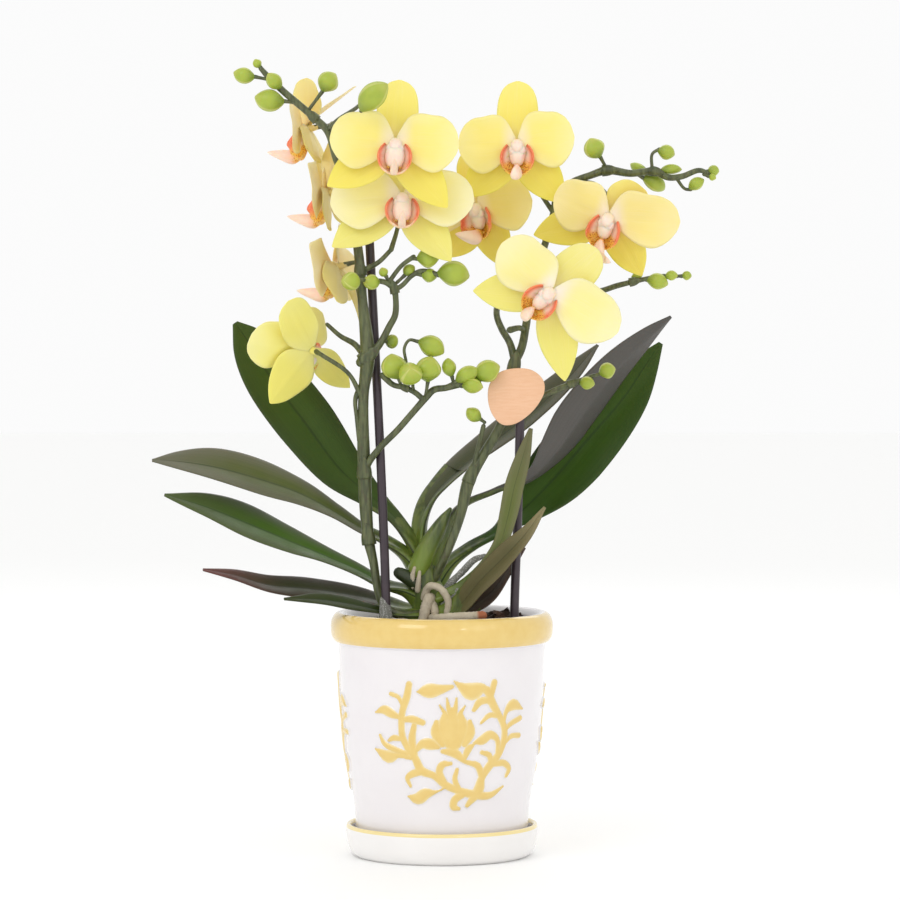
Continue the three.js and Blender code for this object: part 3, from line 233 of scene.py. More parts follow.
class Look:
    """A procedural material under construction."""

    def __init__(self, name, roughness, **values):
        self.material = bpy.data.materials.new(name)
        self.material.use_nodes = True
        self.tree = self.material.node_tree
        self.shader = self.tree.nodes["Principled BSDF"]
        for socket, value in {"Roughness": roughness, **values}.items():
            self.shader.inputs[socket.replace("_", " ")].default_value = value

    def put(self, socket, value):
        if isinstance(value, bpy.types.NodeSocket):
            self.tree.links.new(value, socket)
        elif isinstance(value, str):
            socket.default_value = rgb(value)
        elif value is not None:
            socket.default_value = value

    def node(self, kind, *inputs, **properties):
        made = self.tree.nodes.new(kind)
        for key, value in properties.items():
            setattr(made, key, value)
        for i, value in enumerate(inputs):
            self.put(made.inputs[i], value)
        return made

    def tint(self):
        """The three parts of the tint that the mesh carries, and the whole of it."""
        source = self.node("ShaderNodeAttribute", attribute_name="tint")
        parts = self.node("ShaderNodeSeparateXYZ", source.outputs["Vector"])
        return [parts.outputs[i] for i in range(3)], source.outputs["Vector"]

    def texture(self, kind, scale, vector=None, **values):
        """A texture in object coordinates or another vector, which a scale of three numbers stretches."""
        vector = vector or self.node("ShaderNodeTexCoord").outputs["Object"]
        if isinstance(scale, tuple):
            vector = self.node("ShaderNodeVectorMath", vector, scale, operation="MULTIPLY").outputs[0]
            scale = 1.0
        made = self.node(kind)
        for socket, value in {"Vector": vector, "Scale": scale, **values}.items():
            self.put(made.inputs[socket], value)
        return made.outputs

    def noise(self, scale, vector=None, detail=3.0, rough=0.5):
        return self.texture("ShaderNodeTexNoise", scale, vector, Detail=detail, Roughness=rough)["Fac"]

    def cells(self, scale):
        return self.texture("ShaderNodeTexVoronoi", scale)["Distance"]

    def maths(self, operation, a, b=None, c=None):
        return self.node("ShaderNodeMath", a, b, c, operation=operation).outputs[0]

    def step(self, value, low, high, out_low=0.0, out_high=1.0):
        """A smooth step from one value to another."""
        made = self.node("ShaderNodeMapRange", value, low, high, out_low, out_high)
        made.interpolation_type = "SMOOTHSTEP"
        return made.outputs[0]

    def mix(self, factor, a, b):
        made = self.node("ShaderNodeMix", data_type="RGBA")
        for i, value in zip((0, 6, 7), (factor, a, b)):
            self.put(made.inputs[i], value)
        return made.outputs[2]

    def over(self, face, colour, value, low, high, share=1.0):
        """A colour laid over another, up to a share of it, as the value goes from low to high."""
        return self.mix(self.step(value, low, high, 0.0, share), face, colour)

    def rough(self, value):
        self.put(self.shader.inputs["Roughness"], value)

    def done(self, face, grain, strength, depth):
        """The finished material, with its colour and a fine relief of the given depth in metres."""
        self.put(self.shader.inputs["Base Color"], face)
        made = self.node("ShaderNodeBump")
        for socket, value in {"Height": grain, "Strength": strength, "Distance": depth}.items():
            self.put(made.inputs[socket], value)
        self.put(self.shader.inputs["Normal"], made.outputs[0])
        return self.material


def glaze_look(name, body, shade, honey):
    """Off-white glaze, with honey-coloured glaze where the tint's first part is 1."""
    look = Look(name, 0.16, Coat_Weight=0.5, Coat_Roughness=0.06)
    (painted, height, _), _ = look.tint()
    base = look.mix(look.noise(40, detail=4), body, shade)
    pooled = look.mix(look.noise(160, detail=2), honey[0], honey[1])
    paint = look.over(honey[2], pooled, height, 0.35, 0.95)
    look.rough(look.step(look.noise(300, detail=5), 0.3, 0.8, 0.12, 0.24))
    return look.done(look.over(base, paint, painted, 0.35, 0.65), look.noise(220), 0.12, 0.0004)


def leaf_look(name, colours):
    """Waxy leaf. The tint is (share of the length, place across from -1 to 1, 1 on the upper face)."""
    middle, margin, rib, under, tip, base = colours
    look = Look(name, 0.45, Specular_IOR_Level=0.28, Subsurface_Weight=0.06, Subsurface_Scale=0.002)
    (along, across, upper), vector = look.tint()
    spread = look.maths("ABSOLUTE", across)
    veins = look.noise((2.5, 34, 0), vector)
    mottle = look.noise(90, detail=5)
    face = look.over(middle, margin, spread, 0.25, 0.95)
    face = look.over(face, tip, along, 0.62, 1.0)
    face = look.over(face, base, along, 0.34, 0.1)
    face = look.over(face, rib, spread, 0.07, 0.015, 0.75)
    face = look.over(face, rib, veins, 0.35, 0.7, 0.3)
    face = look.over(face, margin, mottle, 0.4, 0.75, 0.22)
    back = look.over(under, look.mix(0.25, under, rib), veins, 0.4, 0.7)
    look.rough(look.step(mottle, 0.2, 0.8, 0.38, 0.55))
    grain = look.maths("MULTIPLY_ADD", veins, 0.8, look.maths("MULTIPLY", look.cells(900), 0.35))
    return look.done(look.mix(upper, back, face), grain, 0.25, 0.0004)


def petal_look(name, colours):
    """Petal. The tint is (share of the length, place across, 0 for a sepal to 1 for a petal)."""
    heart, middle, rim, sepal = colours
    look = Look(name, 0.55, Subsurface_Weight=0.35, Subsurface_Scale=0.0016,
                Subsurface_Radius=(1.0, 0.85, 0.35), Sheen_Weight=0.15)
    (along, across, kind), vector = look.tint()
    spread = look.maths("ABSOLUTE", across)
    veins = look.noise((1.6, 15, 1), vector, detail=4, rough=0.6)
    face = look.over(heart, middle, along, 0.04, 0.3)
    outer = look.maths("MAXIMUM", look.step(along, 0.45, 1.0), look.step(spread, 0.3, 1.3))
    face = look.mix(outer, face, rim)
    green = look.mix(look.step(along, 0.0, 0.5, 0.55, 0.12), sepal, rim)
    face = look.mix(kind, green, face)
    face = look.over(face, heart, veins, 0.45, 0.75, 0.12)
    face = look.over(face, sepal, look.noise(55), 0.35, 0.8, 0.22)
    grain = look.maths("MULTIPLY_ADD", look.noise(1100, detail=2), 0.25, veins)
    return look.done(face, grain, 0.16, 0.0004)


def lip_look():
    """Lip. The tint is (red share, spot share, share of the length)."""
    look = Look("lip", 0.42, Subsurface_Weight=0.25, Subsurface_Scale=0.0012)
    (red, spots, _), vector = look.tint()
    stripes = look.noise((0, 9, 26), vector, detail=2)
    cream = look.mix(look.noise(300), "#fbe8d2", "#f9cfb8")
    flame = look.over("#ea6e45", "#f4956c", stripes, 0.4, 0.62)
    gold = look.mix(look.noise(420, detail=2), "#fbd45c", "#f9b84c")
    face = look.over(cream, flame, red, 0.1, 0.9)
    face = look.over(face, gold, spots, 0.2, 0.75)
    dots = look.maths("MULTIPLY", look.step(look.cells(1300), 0.36, 0.28), look.step(spots, 0.3, 0.6))
    face = look.mix(dots, face, "#c2541f")
    return look.done(look.over(face, "#c9a043", spots, 1.2, 1.6), stripes, 0.15, 0.0003)


def column_look():
    look = Look("column", 0.38, Subsurface_Weight=0.3, Subsurface_Scale=0.0012)
    (_, along, _), _ = look.tint()
    pink = look.mix(look.noise(350), "#f4d6c4", "#f8e8da")
    return look.done(look.over("#f1e4bc", pink, along, 0.1, 0.9), look.noise(700), 0.1, 0.0003)


def stem_look():
    """Stems and buds. The tint is (0 for a stem, 1 for a bud, share of the length, way round)."""
    look = Look("stem", 0.42, Subsurface_Weight=0.1, Subsurface_Scale=0.002, Coat_Weight=0.08)
    (bud_share, along, turn), _ = look.tint()
    flecks = look.noise(420, detail=4)
    stretched = look.noise((600, 600, 90))
    stalk = look.over("#40472a", "#616741", stretched, 0.3, 0.7)
    stalk = look.over(stalk, "#4a3d2e", flecks, 0.55, 0.75, 0.5)
    ridge = look.maths("COSINE", look.maths("MULTIPLY", turn, 3 * TAU))
    skin = look.over("#7f9432", "#a5b53c", along, 0.0, 0.55)
    skin = look.over(skin, "#b3ba52", along, 0.75, 1.0)
    skin = look.over(skin, "#cfd07c", ridge, 0.8, 1.0, 0.6)
    skin = look.over(skin, "#869a34", look.noise(160, detail=4), 0.4, 0.8, 0.4)
    grain = look.maths("MULTIPLY_ADD", flecks, 0.4, stretched)
    return look.done(look.over(stalk, skin, bud_share, 0.4, 0.6), grain, 0.25, 0.0004)


def crown_look():
    """Leaf bases. The tint is (dark share, share of the length, way round)."""
    look = Look("crown_green", 0.42, Subsurface_Weight=0.12, Subsurface_Scale=0.002, Coat_Weight=0.08)
    (dark, along, _), _ = look.tint()
    streaks = look.noise((350, 350, 60), detail=4)
    face = look.over("#74892f", "#3b4a1c", along, 0.0, 0.6)
    face = look.over(face, "#8e9944", streaks, 0.35, 0.7, 0.35)
    face = look.over(face, "#55532c", look.noise(180, detail=5), 0.55, 0.8, 0.4)
    face = look.over(face, "#2c3718", dark, 0.4, 0.8)
    return look.done(face, streaks, 0.2, 0.0005)


def root_look():
    """Roots. The tint's first part is 0 for beige, 1 for silver and -1 for beige with a cut end."""
    look = Look("root", 0.78)
    (silver, along, _), _ = look.tint()
    wrinkles = look.noise((900, 900, 500), detail=5, rough=0.7)
    beige = look.mix(look.noise(260, detail=6, rough=0.65), "#a99a7e", "#d9cfba")
    grey = look.over("#b9b9b4", "#77776f", look.cells(1500), 0.1, 0.6)
    face = look.over(beige, grey, silver, 0.4, 0.6)
    cut = look.maths("MULTIPLY", look.step(silver, -0.4, -0.6), look.step(along, 0.88, 0.95))
    face = look.mix(cut, face, "#a5623f")
    return look.done(look.over(face, "#6b5a44", wrinkles, 0.55, 0.8, 0.5), wrinkles, 0.7, 0.0008)


def bark_look():
    """Bark. The tint's first part is 0 for dark and 1 for light."""
    look = Look("bark", 0.9)
    (light, _, _), _ = look.tint()
    fibres = look.noise((700, 260, 700), detail=6, rough=0.7)
    shades = [look.mix(fibres, *pair) for pair in [("#17100c", "#3a281f"), ("#35221a", "#6d4d39")]]
    return look.done(look.mix(light, *shades), fibres, 0.9, 0.0012)


def stake_look():
    look = Look("stake", 0.38, Coat_Weight=0.15, Coat_Roughness=0.2)
    grain = look.noise((900, 900, 40), detail=4)
    face = look.mix(grain, "#261c23", "#40323a")
    return look.done(look.over(face, "#4c3c44", look.noise(120), 0.5, 0.8, 0.4), grain, 0.3, 0.0003)


def tag_look():
    look = Look("tag_card", 0.7)
    grain = look.noise((160, 100, 1100), detail=5, rough=0.6)
    pores = look.noise((900, 400, 4200), detail=2)
    face = look.mix(grain, "#f1c7a5", "#e3ae86")
    return look.done(look.over(face, "#c48d66", pores, 0.62, 0.75, 0.35), grain, 0.2, 0.0003)


# ---------------------------------------------------------------- pot and saucer
BASE_Z = 4.3  # underside of the pot
DRAIN_R = 6.0  # radius of the drain hole
FLOOR_TOP = 8.5
WALL = [  # radius and height
    [41.2, 4.3], [42.2, 5.4], [43.4, 25.7], [44.6, 33.5], [46.1, 41.4], [47.1, 49], [48.1, 57],
    [48.8, 65], [50.1, 81], [50.8, 96.7], [51.2, 105.6],
]
RIM = [
    [53, 106.4], [54.5, 108.7], [55, 112.4], [54.6, 116.4], [53, 119.4], [50.6, 120.5], [48.4, 119.6],
    [47, 117],
]
INSIDE = [[45.6, 80], [43, 40], [38.6, 10], [37.4, FLOOR_TOP]]
SAUCER = [
    [0.01, 0], [42.4, 0], [44.6, 1.6], [46.4, 5.2], [47.2, 10], [47.4, 14], [46.7, 15.8], [45.4, 15.6],
    [44.7, 13.6], [44.3, 8], [43.3, 5], [42.6, 4], [0.01, 4],
]
POT_HONEY = (50.9, 106.2)  # radius and height from which the pot is honey-coloured
SAUCER_HONEY = (44.0, 14.2)
WREATHS = 3
WREATH_TURN = 0.05  # radians that the front wreath sits to the right
RELIEF = 1.25  # height of the ornament
FULLNESS = 1.25  # width of its ridges, by the width in the tables
COLUMNS = 705  # points round the pot
SAUCER_COLUMNS = 256
WALL_ROWS = 190
WALL_SPAN = (6.5, 105.0)  # heights between which the wall has its fine rows
SCROLLS = [  # each ridge of one wreath: sideways, height and width at its stations
    [[-18, 89, 3], [-19, 83, 3.5], [-21, 76, 3.2], [-21.5, 69, 3.2], [-21, 63.5, 3.2], [-18.5, 58, 3.2],
     [-15, 53, 3.5], [-12, 47, 4], [-6, 44.5, 3.2], [-0.5, 40, 3.5], [6, 37, 3.5], [14, 34.5, 4.2]],
    [[19.5, 86, 3.5], [22.5, 78.5, 4], [25.5, 73, 3.2], [28, 67, 3.5], [28, 61.5, 3.5], [25.5, 54.5, 3.5],
     [21, 49, 4], [17, 43, 3.5], [15.5, 37, 5], [10, 29.5, 2]],
    [[14, 34.5, 4], [21, 34, 3.2], [27.5, 38, 1]],
    [[-22, 72.5, 1.8], [-26.5, 74.5, 4.2], [-29.5, 76, 4.2], [-33.5, 74.5, 0.8]],
    [[-21.5, 71.5, 2.1], [-16.5, 72, 3.5], [-11.5, 70.5, 2.8]],
    [[-18.5, 55, 2.1], [-25, 57, 2.8], [-29.5, 59.5, 2.5], [-31.5, 63.5, 1.4]],
    [[-17, 53, 2.1], [-23, 54, 2.5], [-27.5, 53, 5.6], [-33.5, 56.5, 1]],
    [[-15.5, 55, 3.5], [-16.5, 62.5, 3.5], [-15.5, 69, 2.5]],
    [[-15, 56, 1.4], [-11.5, 60, 4], [-8, 60, 5.2], [-4, 58.5, 1.8]],
    [[-10.5, 46.5, 2.8], [-15.5, 45.5, 3.5], [-18.5, 43, 2.5], [-17, 39, 1.4]],
    [[-1, 41, 2.8], [-3.5, 46.5, 3.2], [-2, 50, 3.2], [2, 50.5, 1.8]],
    [[0, 39, 0.8], [-5, 36.5, 1.4], [-10, 35.5, 5], [-13.5, 33, 5.2], [-18, 34, 1]],
    [[8.5, 35.5, 3.2], [4, 32.5, 3.5], [3.5, 29, 3.2], [6, 28, 1.8]],
    [[20.5, 80.5, 3.2], [23, 89.5, 3.2]],
    [[21, 81, 2.8], [16, 80.5, 3.5], [13, 76.5, 2.1]],
    [[27.5, 68.5, 1.8], [29, 75, 2.5], [32.5, 78, 5.2], [37, 75.5, 1.1]],
    [[28.5, 59.5, 1.4], [31.5, 62.5, 2.5], [35.5, 62.5, 2.5]],
    [[24.5, 54.5, 1.8], [24.5, 61.5, 2.8], [21, 64, 4], [17, 61.5, 4.2], [13, 60.5, 1]],
    [[22, 49.5, 2.8], [28, 49.5, 3.2], [30.5, 46.5, 2.8], [29, 43, 1.8]],
    [[17, 43, 2.8], [15, 49, 3.2], [8.5, 51.5, 2.1], [4, 55.5, 4.2], [-2, 56.5, 2.1]],
    [[-14, 85.5, 0.8], [-8.5, 86, 6.4], [-4.5, 86.5, 5], [2.5, 88, 1.8]],
    [[3.5, 90.5, 0.8], [8.5, 87, 5], [12, 85.5, 7.8], [17, 87, 4.2], [20.5, 84, 2.8]],
    [[-21, 78.5, 1.8], [-23, 82.5, 2.1], [-26.5, 84, 2.1]],
    [[-21, 62, 1.8], [-25, 62.5, 2.8], [-27.5, 61, 1.3]],
    [[28.5, 66, 1.8], [31, 68.5, 2.5], [36, 71, 2.8]],
    [[21.5, 50.5, 2.5], [20.5, 54, 2.8], [17, 55.5, 2.1]],
    [[25, 73, 2.1], [20.5, 73.5, 2.5], [16.5, 70, 1.4]],
    [[8.5, 53, 2.1], [10.5, 57.5, 3.2], [13.5, 60, 0.8]],
    [[6.5, 37, 2.1], [4, 42.5, 2.5], [5, 47.5, 1.8]],
]
FLOWER = [  # the petals of the wreath's middle flower
    [[2.5, 76, 4], [2.7, 68, 9], [3, 59.5, 6]],
    [[-1.5, 74, 2], [-1, 67, 7], [1, 60, 4]],
    [[7, 74, 2], [7, 67, 7], [5, 60, 4]],
    [[-5, 71, 2], [-5, 65.5, 5], [-2, 60, 3]],
    [[11, 71, 2], [11, 65.5, 5], [8.5, 60, 3]],
    [[-3.5, 79, 0.8], [-1.5, 76, 1.8], [0, 73, 2.2]],
    [[0, 82.5, 0.8], [0.6, 78.5, 2], [1.8, 74, 2.8]],
    [[4.6, 82.5, 0.8], [4.2, 78.5, 2], [3.4, 74, 2.8]],
    [[8.6, 78.5, 0.8], [7, 76, 1.8], [5.4, 73, 2.2]],
]


def wall_radius(z):
    return np.interp(z, [h for _, h in WALL], [r for r, _ in WALL])


def ridge_height(across, up, stations):
    """Height of one ridge of the ornament over the wall laid flat, from 0 to 1."""
    flat = [[wall_radius(z) * math.asin(x / wall_radius(z)), z, 0, w] for x, z, w in stations]
    line = through(flat, 4 * (len(flat) - 1))
    best = np.zeros_like(across)
    for (x0, z0, _, w0), (x1, z1, _, w1) in zip(line[:-1], line[1:]):
        dx, dz = x1 - x0, z1 - z0
        t = np.clip(((across - x0) * dx + (up - z0) * dz) / (dx * dx + dz * dz), 0, 1)
        away = np.hypot(across - x0 - t * dx, up - z0 - t * dz)
        half = np.maximum((w0 + (w1 - w0) * t) / 2 * FULLNESS, 0.6)
        best = np.maximum(best, 1 - (away / half) ** 2)
    return best


def relief(angles, heights):
    """Height of the ornament on a grid of heights and of angles round the pot."""
    turn = TAU / WREATHS
    local = (angles - WREATH_TURN + turn / 2) % turn - turn / 2
    z = heights[:, None] + 0 * local
    across = local * wall_radius(z)
    return np.max([ridge_height(across, z, stations) for stations in SCROLLS + FLOWER], axis=0)


def rounded(profile, steps):
    """A smooth (radius, height) line through a profile."""
    return through([[r, z, 0] for r, z in profile], steps * (len(profile) - 1))[:, :2]


def turned(shape, rows, columns):
    """A closed body round the pot's axis, from rows of radius, height and the tint's first two parts."""
    angles = way_round(columns)
    rings = [xyz(r * np.sin(angles), -r * np.cos(angles), z) for r, z, _, _ in rows]
    shape.skin(rings, [xyz(paint + 0 * angles, height, 0) for _, _, paint, height in rows], loop=True)


def honey(r, z, edge):
    return float(r >= edge[0] and z >= edge[1])


def make_pot():
    shape = Shape()
    heights = np.linspace(*WALL_SPAN, WALL_ROWS)
    wall = rounded(WALL[1:], 8)
    radii = np.interp(heights, wall[:, 1], wall[:, 0])
    raised = relief(way_round(COLUMNS), heights)
    soft = np.sqrt(np.clip(raised, 0, 1))
    rim = rounded([[51.2, 105.4], *RIM, [46.6, 112]], 5)
    rows = [(41.2, BASE_Z, 0, 0), (42.0, 4.9, 0, 0)]
    rows += [(r + RELIEF * up, z, np.minimum(1, 2.5 * paint), up)
             for r, z, paint, up in zip(radii, heights, raised, soft)]
    rows += [(r, z, honey(r, z, POT_HONEY), 1) for r, z in rim]
    rows += [(r, z, 0, 0) for r, z in [*INSIDE, [DRAIN_R, FLOOR_TOP], [DRAIN_R, BASE_Z]]]
    turned(shape, rows, COLUMNS)
    look = glaze_look("pot_glaze", "#eeebec", "#e5e0e3", ("#e0bd68", "#e9cd80", "#f1e0ac"))
    shape.piece("pot_glazed", [look], "pot")


def make_saucer():
    shape = Shape()
    line = [SAUCER[0], *rounded(SAUCER[1:-1], 6), SAUCER[-1]]
    turned(shape, [(r, z, honey(r, z, SAUCER_HONEY), 0.8) for r, z in line], SAUCER_COLUMNS)
    look = glaze_look("saucer_glaze", "#f3f1ef", "#ebe8e6", ("#ecd58c", "#f1dd9c", "#f5e8bb"))
    shape.piece("saucer_glazed", [look], "saucer")


# ---------------------------------------------------------------- growing mix
MIX_TOP = 111.5
MIX_SIDE = [[37.1, 8.8], [42.4, 40], [45, 80], [45.9, 104]]  # radius and height
MIX_RINGS = np.linspace(45.4, 0.6, 30)  # radii over the top
MIX_COLUMNS = 120
CHIPS = 420
CHIP_REACH = 43  # how far from the axis chips lie
LIGHT_CHIPS = 0.12  # share of them
FIBRES = 90
FIBRE_REACH = 38
FIBRE_R = 0.22
BOX = np.array([[x, y, z] for x in (-1, 1) for y in (-1, 1) for z in (-1, 1)], float)
BOX_SIDES = np.array([[0, 1, 3, 2], [4, 6, 7, 5], [0, 4, 5, 1], [2, 3, 7, 6], [0, 2, 6, 4], [1, 5, 7, 3]])


def mix_height(x, y):
    mound = 6 * np.exp(-((x - 31) ** 2 + (y - 20) ** 2) / 300)
    waves = np.sin(x * 0.61 + 2 * np.sin(y * 0.37)) * np.cos(y * 0.53 + x * 0.21)
    return MIX_TOP - 0.6 + mound + 0.9 * waves


def on_mix(a, r, over):
    """A point over the mix at an angle and a distance from the axis."""
    x, y = r * math.cos(a), r * math.sin(a)
    return np.array([x, y, mix_height(x, y) + over])


def chip(shape, draw):
    """A rough flat piece of bark."""
    a, r = draw.uniform(0, TAU), CHIP_REACH * math.sqrt(draw.random())
    size = np.array([draw.uniform(1.5, 4.4), draw.uniform(1, 2.6), draw.uniform(0.6, 1.5)])
    r = min(r, CHIP_REACH + 1 - size[0])
    rough = np.array([[draw.uniform(-0.35, 0.35) for _ in range(3)] for _ in range(8)])
    lean = Vector((draw.uniform(-0.6, 0.6), draw.uniform(-0.6, 0.6), 1))
    turn = np.array(Vector((0, 0, 1)).rotation_difference(lean).to_matrix())
    spin = draw.uniform(0, math.pi)
    flat = np.array([[math.cos(spin), -math.sin(spin), 0], [math.sin(spin), math.cos(spin), 0], [0, 0, 1]])
    corners = (BOX + rough) * size @ flat.T @ turn.T + on_mix(a, r, draw.uniform(-0.4, 0.9))
    shade = 1.0 if draw.random() < LIGHT_CHIPS else draw.uniform(0, 0.4)
    shape.add(corners, [BOX_SIDES], (shade, 0, 0), smooth=False)


def fibre(shape, draw):
    start = on_mix(draw.uniform(0, TAU), FIBRE_REACH * math.sqrt(draw.random()), 0.4)
    step = np.array([draw.uniform(-4, 4), draw.uniform(-4, 4), draw.uniform(0.3, 1.8)])
    bend = np.array([draw.uniform(-2, 2), draw.uniform(-2, 2), 0.5])
    line = through([start, start + step * 0.5 + bend * 0.3, start + step], 5)
    tube(shape, line, FIBRE_R, 4, draw.uniform(0.2, 0.8))


def make_mix():
    shape = Shape()
    draw = random.Random(11)
    angles = way_round(MIX_COLUMNS)
    rings = [xyz(r * np.cos(angles), r * np.sin(angles), z) for r, z in MIX_SIDE]
    for r in MIX_RINGS:
        x, y = r * np.cos(angles), r * np.sin(angles)
        rings.append(xyz(x, y, mix_height(x, y)))
    shape.skin(rings, (0.1, 0, 0))
    for _ in range(CHIPS):
        chip(shape, draw)
    for _ in range(FIBRES):
        fibre(shape, draw)
    shape.piece("growing_mix_bark", [bark_look()], "growing_mix")


# ---------------------------------------------------------------- crown and roots
CORE = [[-8, 108, 0, 6.2], [-7.5, 120, 0, 6.6], [-8, 131, 0, 8], [-9, 141, 0, 7.2], [-9.5, 146, 0, 4.5]]
YOUNG_LEAF = [
    [-12, 141, -4, 5.2], [-7.5, 151, -5, 5], [-3, 159, -5, 4.2], [1, 166, -5, 2.8], [4, 171, -5, 1],
]
STUB = [[-10, 133, -3, 5], [-15.5, 136.5, -5, 3.8], [-21, 139.5, -6, 3]]
HEEL = [[-8, 137, 0, 6], [-4, 126, -3, 6.4], [-5, 116, -5, 5]]
ROOTS = [
    [[-9, 127, -6, 1.9], [-6, 133, -11, 1.8], [-1, 132, -13, 1.8], [3, 126, -14, 1.8], [2.5, 119, -14, 1.7],
     [0, 110, -13, 1.5]],
    [[-6, 124, -5, 3], [-6, 127, -9, 2.9], [-8, 122, -11, 2.7], [-9.5, 115, -12, 2.4],
     [-11, 107, -12, 1.6]],
    [[-6, 126, -8, 2.2], [-3.5, 121, -11, 2.1], [-4, 113, -12, 1.8], [-4, 107, -12, 1.3]],
    [[-3, 124, -2, 2], [3, 133, -6, 1.8], [10, 140, -8, 1.7], [16, 146, -9, 1.6], [21, 148, -10, 1.1]],
    [[-2, 121, -6, 2.2], [4, 126, -9, 1.9], [8, 131, -10, 1.4]],
    [[-12, 118, -4, 2.6], [-19, 117, -10, 2.2], [-23, 112, -12, 1.8], [-24, 106, -12, 1.4]],
    [[-5, 118, 4, 3], [2, 120, 10, 2.6], [8, 115, 15, 2.2], [12, 106, 17, 1.6]],
    [[-5, 117, -11, 2.2], [-2, 117, -23, 2.2], [5, 117.5, -28, 2.3], [13, 118, -29, 2.2],
     [20, 118.5, -29, 2.2]],
    [[-14, 133, -6, 1.6], [-14.5, 138, -8, 1.3], [-13.5, 142, -9, 0.8]],
    [[-12, 131, -7, 1.5], [-11.5, 136, -9, 1.2], [-11, 140, -10, 0.8]],
]
SILVER = {3: 1.0, 4: 1.0, 7: -1.0}  # roots that are silver, and the one that ends in a cut
DRY_SHEATH = [[-27.5, 111, -17.5, 3.6], [-27.8, 118, -17.3, 3.3], [-28.2, 126, -17, 2.5]]
ROOT_SLOT = 1  # place of the roots' material in the piece
FOOT = 0.4  # share of a leaf that is its thick foot
PETIOLE = [(0, 4.6), (0.08, 3.6), (0.16, 2.3), (0.26, 1.2), (0.4, 0.5)]  # half thickness along a leaf


def petiole(shape, knots, up, fold):
    """The thick channelled foot of a leaf, which thins out into the blade."""
    line, width, depth, face, across = leaf_frame(knots, up, fold)
    t = np.linspace(0, 1, LEAF_STEPS + 1)
    angles = way_round(20)
    rings, tints = [], []
    for i in range(int(FOOT * LEAF_STEPS)):
        half = width[i] / 2 * min(1.0, 1.12 - 0.4 * t[i])
        thick = np.interp(t[i], *zip(*PETIOLE))
        rise = np.sin(angles) * thick + 0.9 * np.abs(np.cos(angles)) * half * depth[i] - 0.3 * thick
        rings.append(line[i] + np.outer(np.cos(angles) * half, across[i]) + np.outer(rise, face[i]))
        tints.append(xyz(0, t[i] / FOOT, angles / TAU))
    shape.skin(rings, tints)


def make_crown():
    shape = Shape()
    draw = random.Random(5)
    for knots, dark in [(CORE, 0.0), (HEEL, 0.1), (STUB, 0.9), (YOUNG_LEAF, 0.1)]:
        tube(shape, *knots_line(knots, 24), 24, dark)
    for spec in LEAVES.values():
        petiole(shape, **spec)
    for i, knots in enumerate(ROOTS):
        line, radii = knots_line(knots, 40)
        radii = radii * (1 + 0.07 * np.array([draw.uniform(-1, 1) for _ in radii]))
        tube(shape, line, radii, 14, SILVER.get(i, 0.0), slot=ROOT_SLOT)
    tube(shape, *knots_line(DRY_SHEATH, 16), 16, 1.0, slot=ROOT_SLOT)
    shape.piece("crown_and_roots", [crown_look(), root_look()], "crown_with_roots")


